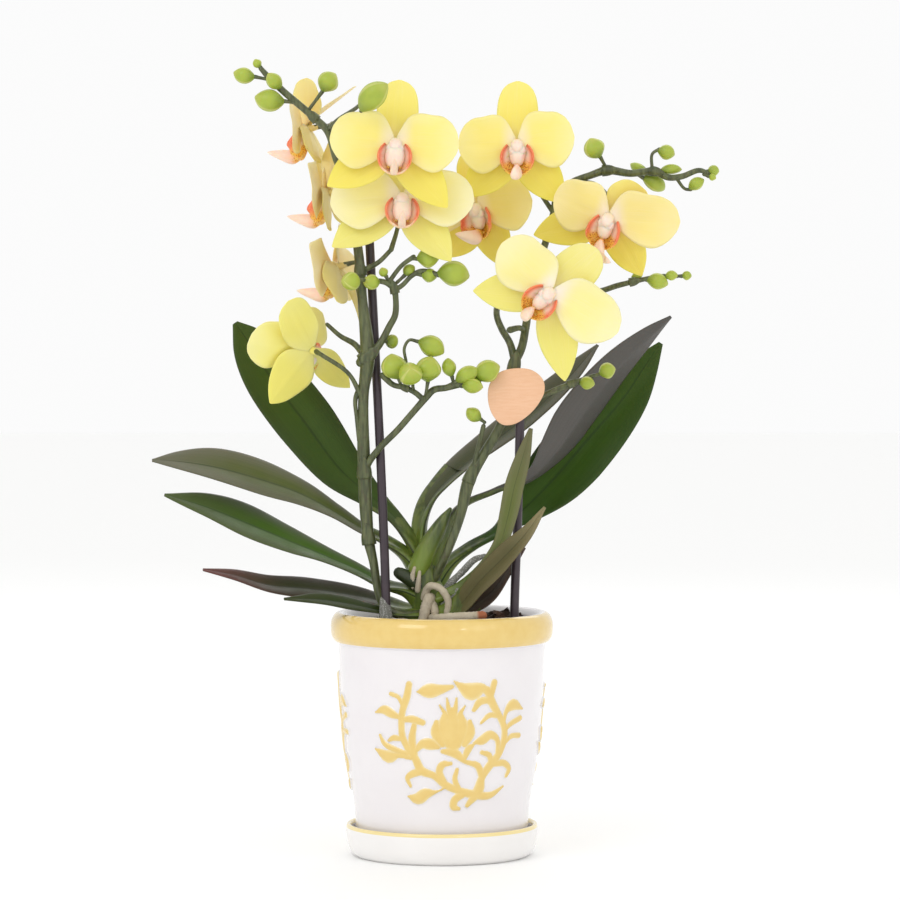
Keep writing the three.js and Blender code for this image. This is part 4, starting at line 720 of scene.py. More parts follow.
# ---------------------------------------------------------------- leaves
LEAF_STEPS = 64
LEAF_COLS = 20
BLADE = 1.3  # thickness
LEAVES = {
    "leaf_left_high": dict(
        fold=0.22, up=[[0.55, -0.5, 0.7], [0.3, -0.93, 0.2]],
        knots=[[-8, 140, 2, 9], [-14, 153, 3, 8.5], [-23, 166, 5, 9], [-34, 176, 8, 14], [-50, 190, 14, 25],
               [-68, 214, 20, 31], [-86, 238, 24, 28], [-96, 254, 25, 18], [-102, 263, 24, 3]]),
    "leaf_left_upper": dict(
        fold=0.3, up=[[0.35, -0.35, 0.87], [0.1, -0.55, 0.83]],
        knots=[[-9, 134, 0, 9], [-17, 147, 0, 9], [-28, 155, 2, 9.5], [-40, 161, 3, 10], [-53, 169, 3, 13],
               [-70, 178, 1, 21], [-90, 185, -3, 28], [-112, 191, -8, 26], [-130, 194, -12, 15],
               [-143, 195, -15, 2]]),
    "leaf_left_lower": dict(
        fold=0.3, up=[[0.2, -0.3, 0.93], [0.12, -0.55, 0.83]],
        knots=[[-8, 124, 0, 9], [-17, 130, -1, 9], [-28, 133, 2, 10], [-41, 140, 2, 11], [-57, 147, 0, 14],
               [-74, 154, -4, 21], [-98, 164, -10, 27], [-118, 172, -15, 18], [-137, 178, -19, 2]]),
    "leaf_left_reddish": dict(
        fold=0.3, up=[[0.05, -0.25, 0.96], [0.05, -0.55, 0.83]],
        knots=[[-9, 118, -1, 9], [-20, 121, 2, 11], [-31, 125, 4, 13], [-48, 128.5, 4, 16],
               [-66, 131, 0, 17], [-86, 133, -6, 14], [-103, 138, -12, 9], [-118, 141, -17, 2]]),
    "leaf_left_small": dict(
        fold=0.35, up=[[0.05, -0.3, 0.95], [0.05, -0.5, 0.86]],
        knots=[[-9, 117, -5, 7], [-20, 118.5, -9, 8], [-34, 121, -15, 9], [-48, 124, -20, 11],
               [-63, 126, -25, 9], [-78, 126.5, -29, 1.8]]),
    "leaf_right_purple": dict(
        fold=0.3, up=[[-0.5, -0.3, 0.8], [-0.55, 0.65, 0.5]],
        knots=[[-6, 140, 1, 9], [-1, 156, 1, 9], [9, 172, 3, 9], [26, 179.5, 5, 9], [43, 186, 7, 13],
               [56, 199, 9, 25], [70, 219, 11, 29], [87, 241, 13, 23], [102, 256, 14, 13],
               [113, 266, 14, 2]]),
    "leaf_right_bright": dict(
        fold=0.18, up=[[-0.5, -0.35, 0.8], [-0.35, -0.9, 0.3]],
        knots=[[-5, 129, 3, 9], [3, 143, 5, 9], [14, 152, 8, 8], [28, 160, 14, 9], [40, 170, 22, 22],
               [54, 184, 27, 34], [72, 205, 30, 36], [90, 226, 32, 27], [100, 241, 33, 16],
               [108, 253, 33, 2.5]]),
    "leaf_right_folded": dict(
        fold=0.45, up=[[-0.6, -0.3, 0.7], [-0.55, -0.55, 0.6]],
        knots=[[-8, 144, 3, 8], [-10, 160, 6, 9], [-5, 175, 12, 14], [8, 189, 18, 20], [24, 202, 24, 23],
               [41, 215, 29, 23], [56, 228, 33, 20], [68, 241, 36, 13], [77, 252, 38, 2]]),
    "leaf_right_upright": dict(
        fold=0.3, up=[[-0.5, -0.75, 0.35], [-0.35, -0.9, 0.15]],
        knots=[[-3, 126, -6, 6], [9, 132, -9, 6], [21, 142, -17, 7], [29, 154, -21, 7.5],
               [33, 168, -22, 9.5], [36, 182, -22, 10], [40, 196, -21, 8], [44, 211, -20, 2]]),
    "leaf_right_olive": dict(
        fold=0.25, up=[[-0.5, -0.7, 0.5], [-0.55, -0.7, 0.45]],
        knots=[[-4, 117, -7, 8], [8, 122, -16, 13], [19, 135, -24, 15], [31, 147, -30, 14],
               [42, 159, -33, 9], [51, 172, -35, 1.8]]),
    "leaf_right_low": dict(
        fold=0.25, up=[[-0.5, -0.6, 0.6], [-0.6, -0.6, 0.5]],
        knots=[[-2, 118, -2, 8], [13, 122, -7, 11], [24, 129, -10, 12], [33, 141, -9, 8],
               [41, 152, -8, 1.8]]),
}
LEAF_COLOURS = {  # middle, margin, rib, underside, tip, base
    "leaf_left_high": ("#3a5212", "#344713", "#26380d", "#45453a", "#3f541b", "#5a603a"),
    "leaf_left_upper": ("#525d28", "#666650", "#2f3c16", "#363b22", "#6c6a58", "#485322"),
    "leaf_left_lower": ("#47671b", "#56603e", "#2f4818", "#30381c", "#515e33", "#45581f"),
    "leaf_left_reddish": ("#363a1c", "#3f3424", "#272b15", "#4b3a32", "#764c48", "#3c461c"),
    "leaf_left_small": ("#2c3a10", "#333c18", "#212b10", "#2b341a", "#363f1c", "#3a481b"),
    # leaf_right_purple: its margin colour, lighter than the middle, is a painted highlight along both edges
    "leaf_right_purple": ("#5f5c58", "#7c7873", "#3a3b36", "#575450", "#6f6b64", "#4c5432"),
    "leaf_right_bright": ("#38560f", "#304a10", "#223a0e", "#36432a", "#3a5118", "#47561f"),
    "leaf_right_folded": ("#4b5034", "#605f4c", "#2e341d", "#2c301a", "#66655a", "#434b1e"),
    "leaf_right_upright": ("#636c34", "#71734a", "#414c22", "#4a502e", "#6b6848", "#4f5f24"),
    "leaf_right_olive": ("#58532f", "#68603e", "#3d3a22", "#48432c", "#8f8560", "#525620"),
    "leaf_right_low": ("#52433b", "#604c42", "#392f29", "#423733", "#6b544c", "#4b4628"),
}


def leaf_frame(knots, up, fold):
    """A leaf's middle line, width and depth of fold, and its directions out of the face and across."""
    line, width = knots_line(knots, LEAF_STEPS)
    t = np.linspace(0, 1, LEAF_STEPS + 1)
    ahead = unit(np.gradient(line, axis=0))
    turn = np.minimum(1, 1.6 * t)[:, None]
    face = np.array(up[0]) * (1 - turn) + np.array(up[1]) * turn
    face = unit(face - ahead * np.sum(face * ahead, axis=1, keepdims=True))
    depth = fold * (1 + 1.6 * np.clip(1 - t / 0.3, 0, 1))
    return line, width, depth, face, np.cross(ahead, face)


def leaf(shape, draw, knots, up, fold):
    """A waved blade with a groove along its middle."""
    line, width, depth, face, across = leaf_frame(knots, up, fold)
    t = np.linspace(0, 1, LEAF_STEPS + 1)[:, None]
    v = np.linspace(-1, 1, LEAF_COLS + 1)
    wide, across, out = width[:, None], across[:, None], face[:, None]
    raised = np.sqrt(v ** 2 + 0.006) - 0.35 * v ** 2
    phase = draw.uniform(0, 6)
    wave = 0.35 * np.sin(t * 17 + phase) * v ** 2 + 0.25 * np.sin(t * 9 + 2 * phase) * v ** 3
    lift = raised * wide * depth[:, None] / 2 + wave * np.clip(wide / 20, 0, 1)
    grid = line[:, None] + across * (v * wide / 2)[..., None] + out * lift[..., None]
    thick = BLADE + 1.4 * np.clip(1 - t * 3, 0, 1)
    thick = thick * (0.3 + 0.7 * (1 - v ** 4)) * (0.6 + 0.4 * np.clip(wide / 9, 0, 1))
    normal = grid_normals(grid)
    normal *= np.sign(np.sum(normal * out, axis=-1, keepdims=True))
    blade(shape, grid, normal, thick, xyz(t, v, 1), xyz(t, v, 0))


def make_leaves():
    for i, (name, spec) in enumerate(LEAVES.items()):
        shape = Shape()
        leaf(shape, random.Random(i), **spec)
        shape.piece(name + "_blade", [leaf_look(name, LEAF_COLOURS[name])], name)


# ---------------------------------------------------------------- stakes
STAKE_R = 2.2
STAKE_FOOT = 45.0  # height of the buried end
STAKES = {
    "stake_left": [[-27.5, 119, -17.5], [-30, 190, -14], [-33.5, 262, -10], [-36, 311, -6.5]],
    "stake_right": [[35.8, 118, -14], [37.5, 170, -14], [38.8, 227, -14]],
}


def make_stakes():
    material = stake_look()
    for name, knots in STAKES.items():
        shape = Shape()
        points = [seen(knot) for knot in knots]
        points.insert(0, np.array([points[0][0], points[0][1], STAKE_FOOT]))
        tube(shape, through(points, 48), STAKE_R, 24)
        shape.piece(name + "_rod", [material], name)


# ---------------------------------------------------------------- flower spikes
SPIKES = {
    "spike_left": dict(
        stems=[
            [[-10, 119, -6, 2.4], [-21, 119, -10.5, 2.2], [-29, 124, -11.5, 2.1], [-34, 146, -12, 2.2],
             [-36.3, 157, -12, 2.8], [-38.3, 190, -13, 3.3], [-38.6, 228, -17, 2.6], [-36.6, 246, -18, 3.6],
             [-39.2, 275, -16, 2.4], [-40.2, 289, -16, 2.5], [-42, 304, -15, 2.2], [-49, 336, -12, 2],
             [-52, 344, -11, 1.9], [-56, 357, -10, 1.9], [-63, 364, -9, 1.8], [-77, 376, -8, 1.7],
             [-84, 382.5, -8, 1.6], [-89, 388, -8, 1.2]],
            [[-38, 190, -13, 1.9], [-35.5, 195, -16.5, 1.7], [-30, 202, -19.5, 1.6], [-22, 210, -20, 1.6],
             [-15, 218, -20, 1.6], [-8, 226, -20, 1.7], [-4, 230, -20, 1.7], [2, 231, -20, 1.6],
             [10, 233, -20, 1.7], [18, 234, -20, 1.4]],
            [[-9, 225, -20, 1.5], [-13, 228.5, -20, 1.4], [-18, 231, -20, 1.4], [-24, 232.5, -20, 1.4],
             [-29, 237, -20, 1.7]],
            [[-37, 246, -18, 2.2], [-33.5, 249, -18.5, 2], [-30, 253.5, -18.5, 1.8], [-26, 261, -18, 1.7],
             [-23, 267, -18, 1.6], [-22.8, 276, -18, 1.5], [-23.5, 280, -18, 1.8]],
            [[-23.5, 280, -18, 1.5], [-28, 283, -20, 1.4], [-36, 284, -22, 1.2]],
            [[-23.5, 279, -18, 1.4], [-19.5, 281.5, -18, 1.2], [-15, 286, -18, 1.2], [-10, 288.5, -18, 1.3],
             [-1, 286.5, -19, 1.3]],
            [[-26.5, 282.5, -19, 1.2], [-20, 291, -20, 1.1], [-14, 295.5, -20, 1.2]],
            [[-38.5, 247, -17, 1.6], [-43, 252.5, -12, 1.5], [-50, 256.5, -8, 1.2],
             [-56.5, 262.2, -5.5, 1]],
            [[-39, 288.5, -16, 1.5], [-31, 293, -18.5, 1.2], [-25, 299, -17, 1.1]],
            [[-39, 233, -16, 1.8], [-42.5, 226, -17, 1.2], [-42, 216, -16.5, 1], [-40.5, 205, -15, 1.4]],
        ],
        buds=[
            [[-97, 385, -8], [-85, 382.5, -8], 11, 8], [[-90.5, 390.5, -8], [-88, 387, -8], 5, 4.4],
            [[-82, 382, -10], [-76, 375.5, -8], 10, 7.5], [[-84.5, 373, -9], [-71, 371, -8], 15, 11],
            [[-55.5, 381, -10], [-66, 367, -9], 11, 10.5],
            [[-33.4, 373.6, -54], [-39.5, 367.4, -50], 20, 12],
            [[-7, 294.5, -20], [-15, 294.5, -20], 11, 10], [[-16, 288.5, -16], [-22, 283, -18], 7, 6],
            [[5.5, 286.5, -19], [-4, 287.5, -19], 16, 12.5], [[-6.5, 286, -17], [-13, 287, -18], 8, 7],
            [[-44.5, 284, -33], [-34, 284, -22], 11, 9], [[-34.5, 283.5, -24], [-27, 283, -20], 9, 7.5],
            [[-28.5, 288, -21], [-26, 283, -19], 5, 4.6], [[-25, 253.5, -12], [-29, 254, -16], 7, 7],
            [[-23, 241.5, -22], [-20, 231.5, -20], 13, 12.5],
            [[-15, 237.5, -33], [-14, 229.5, -20], 12, 11.5],
            [[-6, 240, -24], [-8, 227, -20], 13, 12.5], [[4, 241, -20], [6, 232, -20], 9.5, 7],
            [[12.5, 237, -22], [3, 232, -20], 13, 8], [[15, 231.5, -23], [7, 232, -20], 11, 7.5],
            [[22.5, 238.5, -21], [13, 233.5, -20], 13.5, 11], [[-5.5, 251, -20], [-12, 254, -20], 14, 10.5],
        ],
        hooks=[
            [[-17, 232, -20, 0.9], [-17.5, 243, -20, 0.8], [-18.5, 250.5, -20, 0.8], [-16, 254.5, -20, 0.8],
             [-11, 253.5, -20, 1]],
            [[-56, 358, -10, 1.2], [-51, 363, -22, 1], [-43, 368, -32, 1], [-38.5, 371.5, -42, 1],
             [-38.5, 369, -50, 1.2]],
        ],
        joints=[(-36.5, 157, -12, 3.7), (-38.2, 190, -13, 3.9), (-37, 246, -18, 4), (-40.2, 289, -16, 3.2),
                (-23.3, 279.5, -18, 2.4), (-63, 364.5, -9, 2.6), (-17, 234, -20, 2)]),
    "spike_right": dict(
        stems=[
            [[-4, 136, -4, 2.2], [3, 151, -9.5, 2.2], [8.5, 166, -8.5, 2.4], [14, 187, -8, 3.2],
             [22, 200.5, -8, 2.4], [30.5, 216, -9, 2.4], [33, 229, -9, 2.4], [36, 244, -8, 2.9]],
            [[36, 244, -8, 2.1], [33.5, 253, -4, 1.8], [29.5, 260, 1, 1.7], [27, 267, 5, 1.6],
             [29.3, 280, 20, 1.5], [31.5, 296, 33, 1.5], [30, 311, 37, 1.3]],
            [[36, 244, -8, 2.3], [39.2, 250.5, -6, 2.1], [41.5, 262, -3, 2], [44, 279, 1, 1.9],
             [50, 299, 3, 1.8], [55, 317, 3, 1.8], [57, 326, 2, 1.8], [64, 332, 1, 1.8], [73, 335.5, 0, 1.8],
             [81.5, 338, -1, 2.1], [93, 336.5, -2, 1.8], [104.5, 337.5, -3, 1.8], [111.5, 334.5, -3, 1.6],
             [118, 335, -3, 1.5], [126.5, 338, -4, 1.3], [131.5, 336.5, -4, 1]],
            [[14.5, 188, -8, 1.2], [17.5, 200, -11, 1.1], [20.5, 212, -13, 1.2]],
            [[33, 227, -9, 1.6], [42, 225, -9, 1.5], [50, 227.5, -9, 1.4], [60, 231.5, -10, 1.5],
             [66.5, 234, -10, 1.3], [75, 237, -11, 1.1]],
            [[46, 286, 2, 1.6], [62, 281, 0, 1.5], [76, 278.5, -4, 1.4], [87, 281.5, -8, 1.4],
             [97.5, 284, -10, 1.2], [108, 286, -11, 1.1], [116, 286, -11, 1]],
            [[41, 259, -3, 1.4], [38, 260.5, -9, 1.4], [33.5, 259.5, -12, 1.7]],
        ],
        buds=[
            [[75.5, 349, -4], [81, 339, -1], 11, 10.5], [[97, 339.5, 3], [103, 337, -3], 12, 5],
            [[104, 331.5, 4], [96, 336, -2], 15, 8], [[112.5, 338, 0], [104, 337.5, -3], 12, 5],
            [[133.5, 337.5, -3], [128, 337.5, -4], 6, 5.6], [[133, 334.5, -5], [129, 336, -4], 4, 3.6],
            [[106, 283, -11], [99, 284.5, -10], 11, 8], [[113, 286, -12], [108, 285.5, -11], 6.5, 5],
            [[120.5, 286, -11], [115, 286, -11], 5, 4.6], [[96, 285.5, -8], [90, 282, -8], 7, 4],
            [[71.5, 233, -12], [66, 233.5, -10], 8, 6.5], [[81.5, 239, -12], [74, 236.5, -11], 8.5, 8],
            [[16, 218, -14], [21, 214, -13], 9, 7],
        ],
        hooks=[
            [[103.5, 338, -3, 0.9], [103.5, 346, -3, 0.8], [107, 348.5, -3, 0.9]],
            [[115.5, 334, -3, 0.9], [119.5, 329, -3, 0.8], [122.5, 328.5, -3, 0.9]],
        ],
        hung=[[[106, 347.5, -3], [114.5, 345.5, -3], 7.5], [[121.5, 328.5, -3], [129, 333.5, -3], 6.2]],
        joints=[(14, 186, -8, 3.4), (36, 244, -8, 3.4), (81.5, 338, -1, 2.9), (104, 337.5, -3, 2.6),
                (64, 233, -10, 2.2), (94, 284, -10, 2.2)]),
}
STALK_KIND = 0.3  # tint of the thin stalks
BUD_STALK = [0.95, 0.9, 0.85, 0.85, 0.9, 1, 1.1]
BUD_PROFILE = [
    (0, 0.1), (0.1, 0.42), (0.3, 0.86), (0.5, 1), (0.7, 0.9), (0.88, 0.55), (0.97, 0.24), (1, 0.1),
]


def bud(shape, base, tip, width):
    t = np.linspace(0, 1, 18)
    axis = tip - base
    bend = unit(np.cross(axis, [0.3, 1.0, 0.2])) * np.linalg.norm(axis) * 0.05
    line = base + np.outer(t, axis) + np.outer(np.sin(t * math.pi), bend)
    tube(shape, line, eased(BUD_PROFILE, t) * width / 2, 20, 1.0, blunt=False, lobes=0.035)


def stalked_bud(shape, middle, start, length, width):
    half = unit(middle - start) * length / 2
    bud(shape, middle - half, middle + half, width)
    tube(shape, through([start, middle - half * 0.95], 6), BUD_STALK, 10, STALK_KIND)


def stem_joint(shape, line, place, radius):
    """A swollen ring on a stem, with a dry scale that clasps it."""
    k = int(np.argmin(np.linalg.norm(line - place, axis=1)))
    k = min(max(k, 1), len(line) - 2)
    centre = line[k]
    ahead = unit(line[k + 1] - line[k - 1])
    side = unit(np.cross(ahead, [0.0, 1.0, 0.0]))
    front = np.cross(side, ahead)
    t = np.linspace(-1, 1, 9)
    ring = radius * (0.72 + 0.26 * np.cos(t * math.pi / 2) ** 2)
    tube(shape, centre + np.outer(t * radius * 1.1, ahead), ring, 16)
    rows = np.linspace(0, 1, 10)[:, None]
    reach = 1.5 * (1 - rows ** 1.6) * np.linspace(-1, 1, 11)
    out = radius * (1.02 + 0.06 * rows)
    grid = (centre + (np.cos(reach) * out)[..., None] * -front + (np.sin(reach) * out)[..., None] * side
            + (rows * radius * 3.2 - radius)[..., None] * ahead)
    blade(shape, grid, grid_normals(grid), 0.35, (0.2, 0.5, 0))


def make_spikes():
    material = stem_look()
    for name, spec in SPIKES.items():
        shape = Shape()
        stems = [knots_line(knots, 10 * (len(knots) - 1)) for knots in spec["stems"]]
        for i, (line, radii) in enumerate(stems):
            tube(shape, line, radii, 14 if i else 18)
        for knots in spec["hooks"]:
            tube(shape, *knots_line(knots, 8 * (len(knots) - 1)), 10)
        for at, start, length, width in spec["buds"]:
            stalked_bud(shape, seen(at), seen(start), length, width)
        for base, tip, width in spec.get("hung", []):
            bud(shape, seen(base), seen(tip), width)
        for at in spec["joints"]:
            place = seen(at)
            line, _ = min(stems, key=lambda stem: np.min(np.linalg.norm(stem[0] - place, axis=1)))
            stem_joint(shape, line, place, at[3] * 0.92)
        for bloom in BLOOMS.values():
            if bloom["spike"] == name:
                pedicel(shape, bloom)
        shape.piece(name + "_stems", [material], name)


# ---------------------------------------------------------------- blooms
BLOOMS = {
    "bloom_1": dict(
        colour="yellow", spike="spike_left", joint=[-22.9, 351, -39], face=[0.02, -0.99, 0.08], roll=-3,
        tips=[[-20.6, 382.8], [8.5, 350.6], [-55.2, 353.7], [2.6, 319.7], [-56.4, 330.4]],
        red=0.3, start=[-50, 339, -12], via=[-37, 358, -21]),
    "bloom_2": dict(
        colour="pale", spike="spike_left", joint=[-19.4, 324.1, -25], face=[0.03, -0.97, 0.18], roll=-2,
        tips=[[-19.1, 353], [15.9, 323.4], [-54.9, 321.4], [4.5, 293.5], [-54, 300.4]],
        red=0.35, start=[-25, 299, -17], via=[-22, 309, -13]),
    # bloom_3, bloom_4 and bloom_5 use the ochre petal colours, which hold painted shade
    "bloom_3": dict(
        colour="ochre_shaded", spike="spike_left", joint=[-67, 358.6, 30], face=[-0.95, 0.28, -0.1], roll=0,
        adjust=[dict(turn=10, length=24, twist=62), dict(turn=88, tilt=-6, length=30),
                dict(turn=-25, tilt=-50, width=12, twist=28), dict(turn=134, tilt=-14, length=28, twist=15),
                dict(turn=-166, tilt=-22, length=35, droop=-0.42, width=15)],
        start=[-56, 357, -10], via=[-54, 361, 8]),
    "bloom_4": dict(
        colour="ochre_shaded", spike="spike_left", joint=[-57.1, 327.1, 13.5], face=[-0.95, 0.28, -0.1], roll=0,
        adjust=[dict(length=27, twist=35), dict(turn=88, tilt=-6), dict(turn=-88, tilt=-4),
                dict(turn=128, tilt=-6, length=30), dict(turn=-114, width=17)],
        start=[-45, 321, -14], via=[-46, 325, 2]),
    "bloom_5": dict(
        colour="ochre_shaded", spike="spike_left", joint=[-52.7, 291, 1.5], face=[-0.95, 0.3, -0.12], roll=0,
        adjust=[dict(length=20, twist=20), dict(turn=94, tilt=2, length=31),
                dict(turn=-100, tilt=-2), dict(turn=126, tilt=-8, width=21, twist=20),
                dict(turn=-164, tilt=-31, length=34, droop=-0.42, width=12)],
        start=[-39.5, 272, -16], via=[-41.5, 281, -9]),
    "bloom_6": dict(
        colour="lemon", spike="spike_left", joint=[-64.7, 250.4, -14], face=[-0.55, 0.75, 0.3], roll=-25,
        tips=[[-76.5, 274.2], [-95.6, 252.1], None, [-84.9, 223.5], [-44.3, 230.4]],
        adjust=[{}, dict(width=24), dict(turn=-66, tilt=34, length=22, width=22), dict(width=25),
                dict(tilt=14, width=15)],
        start=[-39.5, 226, -17], via=[-46, 238, -20]),
    "bloom_7": dict(
        colour="warm", spike="spike_right", joint=[17.9, 319.7, 22], face=[-0.42, -0.87, -0.2], roll=6,
        tips=[None, [44.7, 323.6], None, [32.7, 290.1], [3.6, 295.5]], adjust=[dict(length=29)],
        tongue=[-5, -9, 20], start=[30, 311, 37], via=[29, 319, 40]),
    "bloom_8": dict(
        colour="yellow", spike="spike_right", joint=[37.1, 350.7, -9], face=[-0.03, -0.99, -0.03], roll=0,
        tips=[[37.4, 382.2], [65.2, 354.7], [8, 350], [59.8, 322.1], [11, 325.1]],
        tongue=[-2.5, -14.5, 16], start=[55, 317, 3], via=[46, 331, 5]),
    "bloom_9": dict(
        colour="warm", spike="spike_right", joint=[82.4, 315, -22], face=[-0.3, -0.9, -0.3], roll=-20,
        tips=[[101.2, 328.5], [117.3, 312.8], [55.3, 325.6], [98.3, 286.1], [45.3, 306.3]],
        adjust=[dict(width=24)], tongue=[9, -17, 13], start=[64, 332, 1], via=[76, 331, -3]),
    "bloom_10": dict(
        colour="pale", spike="spike_right", joint=[53.6, 278, -35], face=[-0.2, -0.96, -0.1], roll=-48,
        tips=[[77.3, 299.4], [86.9, 258.5], [29.7, 302.4], [60.6, 234.3], [15.4, 278.7]],
        adjust=[dict(width=22)], tongue=[2.5, -13.5, 18], start=[42, 266, -2], via=[49, 270, -9]),
}
NECK = 6.5  # length of the neck behind the joint of the petals
TEPAL_ROOT = 0.8  # distance of a petal's root from the joint
TONGUE = (0, -9.7, 21.2)  # end of the lip's tongue
PETAL = 0.55  # thickness
ROUND = [(0, 0.14), (0.1, 0.34), (0.22, 0.58), (0.35, 0.79), (0.5, 0.96), (0.62, 0.99), (0.8, 0.78),
         (0.92, 0.48), (0.98, 0.22), (1, 0.05)]
SHOULDER = [(0, 0.25), (0.06, 0.5), (0.14, 0.8), (0.24, 1.0), (0.36, 1.06), (0.55, 1.0), (0.8, 0.86),
            (0.92, 0.6), (0.98, 0.3), (1, 0.05)]  # upper side of a petal
OVAL = [(0, 0.2), (0.1, 0.52), (0.24, 0.86), (0.4, 1), (0.6, 0.99), (0.78, 0.86), (0.9, 0.64), (0.97, 0.34),
        (1, 0.07)]
POINTED = [(0, 0.2), (0.1, 0.52), (0.22, 0.84), (0.36, 0.99), (0.5, 0.99), (0.66, 0.86), (0.8, 0.62),
           (0.91, 0.34), (0.97, 0.15), (1, 0.04)]
TEPALS = [  # the upper sepal, both petals and both lower sepals
    dict(turn=0, length=31, width=20, outline=OVAL, lift=-1.9, tilt=-4, cup=0.06, droop=0.08, kind=0.35),
    *(dict(turn=turn, length=32, width=28, outline=ROUND, upper=SHOULDER, lift=1, tilt=3, cup=0.1,
           droop=0.05, kind=1) for turn in (80, -80)),
    *(dict(turn=turn, length=33, width=20, outline=POINTED, lift=-1.7, tilt=0, cup=0.06, droop=0.05,
           kind=0) for turn in (128, -128)),
]
PETAL_COLOURS = {  # near the column, middle, rim, sepals
    "yellow": ("#f8e6c4", "#f5e382", "#f5e6a0", "#e9d850"),
    "pale": ("#f9eada", "#f3e79a", "#f4eab6", "#e6dc6c"),
    "warm": ("#f7e2cc", "#f2dc8a", "#f4dfa2", "#e4d150"),
    # ochre: the petal colours darkened and warmed as painted shade, for the three blooms seen side-on
    "ochre_shaded": ("#f3d0a4", "#f0d592", "#f5dfb0", "#e0cc6a"),
    "lemon": ("#efe894", "#f2e886", "#f4eca4", "#ece068"),
}
TEPAL_ROWS = 30
TEPAL_COLS = 18
LIP_SLOT = 1  # places of the materials in the piece, after the petals'
COLUMN_SLOT = 2
CUP_TURN = 142  # degrees that the lip's cup reaches round to each side
CUP_WALL = [(0, 5), (40, 5.6), (80, 7.4), (108, 5.6), (CUP_TURN, 1.2)]  # depth at an angle from its foot
BELLY = [(0, 2.4), (0.25, 3.6), (0.5, 3.4), (0.75, 2.2), (0.92, 1.1), (1, 0.3)]  # half height of the tongue


class BloomFrame:
    """The joint of a bloom's petals, and its own right, up and forward directions."""

    def __init__(self, joint, face, roll, **_):
        self.f = unit(face)
        up = unit(np.array([0, 0, 1]) - self.f * self.f[2])
        a = math.radians(roll)
        self.u = up * math.cos(a) + np.cross(self.f, up) * math.sin(a)
        self.r = np.cross(self.u, self.f)
        self.o = seen(joint)

    def place(self, points):
        points = np.asarray(points, float)
        return self.o + points[..., :1] * self.r + points[..., 1:2] * self.u + points[..., 2:3] * self.f

    def aimed(self, tip, one):
        """The turn and length of a petal whose end is seen at the given point."""
        if tip is None:
            return {}
        rise = one["lift"] + one["length"] * (math.sin(math.radians(one["tilt"])) - one["droop"])
        sight = np.array([tip[0], 0.0, tip[1]]) - EYE
        end = EYE + sight * (((self.o - EYE).dot(self.f) + rise) / sight.dot(self.f)) - self.o
        across, up = end.dot(self.r), end.dot(self.u)
        return dict(turn=math.degrees(math.atan2(across, up)), length=math.hypot(across, up) - TEPAL_ROOT)


def pedicel(shape, bloom):
    """The stalk that carries a bloom."""
    back = BloomFrame(**bloom).place([[0, 0, -NECK - 5], [0, 0, -NECK + 1.5]])
    line = through([seen(bloom["start"]), seen(bloom["via"]), *back], 30)
    radii = np.interp(np.linspace(0, 1, 31), [0, 0.3, 0.8, 1], [1.3, 1.05, 1.1, 1.4])
    tube(shape, line, radii, 12, STALK_KIND)


def tepal(shape, base, draw, turn, length, width, outline, lift, tilt, cup, droop, kind,
          twist=0, upper=None):
    """A sepal or petal: s goes along it and v across it. A petal's upper side may have its own outline."""
    a, t, w = (math.radians(angle) for angle in (turn, tilt, twist))
    flat = base.u * math.cos(a) + base.r * math.sin(a)
    side = base.r * math.cos(a) - base.u * math.sin(a)
    out = flat * math.cos(t) + base.f * math.sin(t)
    side = side * math.cos(w) + np.cross(out, side) * math.sin(w)
    face = np.cross(side, out)
    s = (1 - (1 - np.linspace(0, 1, TEPAL_ROWS + 1)) ** 1.7)[:, None]
    v = np.linspace(-1, 1, TEPAL_COLS + 1)
    half = np.where(v * turn < 0, eased(upper or outline, s), eased(outline, s)) * width / 2
    phase = draw.uniform(0, 6)
    ripple = (0.55 * np.sin(s * 9 + phase) * np.abs(v) ** 2.5 * np.sign(v)
              + 0.4 * np.sin(s * 6 + 2 * phase) * v ** 2)
    crease = -0.35 * np.exp(-(v / 0.12) ** 2) * np.sin(s * math.pi)
    bend = draw.uniform(-0.5, 0.5) * s ** 2
    tall = lift + cup * v ** 2 * half - droop * length * s ** 2 + ripple * half / 10 + crease + bend
    grid = (base.o + out * (TEPAL_ROOT + length * s)[..., None] + side * (v * half)[..., None]
            + face * tall[..., None])
    thick = 0.4 + 0.6 * np.sin(np.clip(s, 0, 0.985) * math.pi) ** 0.3
    blade(shape, grid, face, PETAL * (0.25 + 0.75 * (1 - v ** 4)) * thick, xyz(s, v, kind))


def lump(shape, base, centre, radii, tint, slot):
    """A small rounded body in the bloom's own directions."""
    t = np.linspace(0.08, math.pi - 0.08, 12)[:, None]
    a = way_round(16)
    ball = xyz(np.sin(t) * np.cos(a), np.sin(t) * np.sin(a), np.cos(t))
    shape.skin(base.place(np.array(centre) + ball * radii), tint, slot)


def lip_cup(shape, base, red):
    """The lip's cup: a floor with spots that rises on both sides into lobes beside the column."""
    q = np.radians(np.linspace(-CUP_TURN, CUP_TURN, 49))[:, None]
    w = np.linspace(0, 1, 12)
    swell = np.sin(w * math.radians(118))
    degrees = np.degrees(np.abs(q))
    x = np.sin(q) * (3.0 + 5.2 * swell)
    y = -6.8 - np.cos(q) * (4.4 + 4.2 * swell)
    z = 0.6 + np.interp(degrees, *zip(*CUP_WALL)) * w + 0.5 * w * np.sin(q * 9)
    grid = base.place(xyz(x, y, z))
    side = np.interp(degrees, [25, 62], [0, 1])
    flame = max(red, 0.85) * side * np.clip(w * 2.4 - 0.4, 0, 1)
    spots = np.interp(degrees, [45, 100], [1, 0]) * (0.3 + 0.7 * red) * (1 - 0.3 * w)
    blade(shape, grid, grid_normals(grid), 0.6, xyz(flame, spots, w), slot=LIP_SLOT)


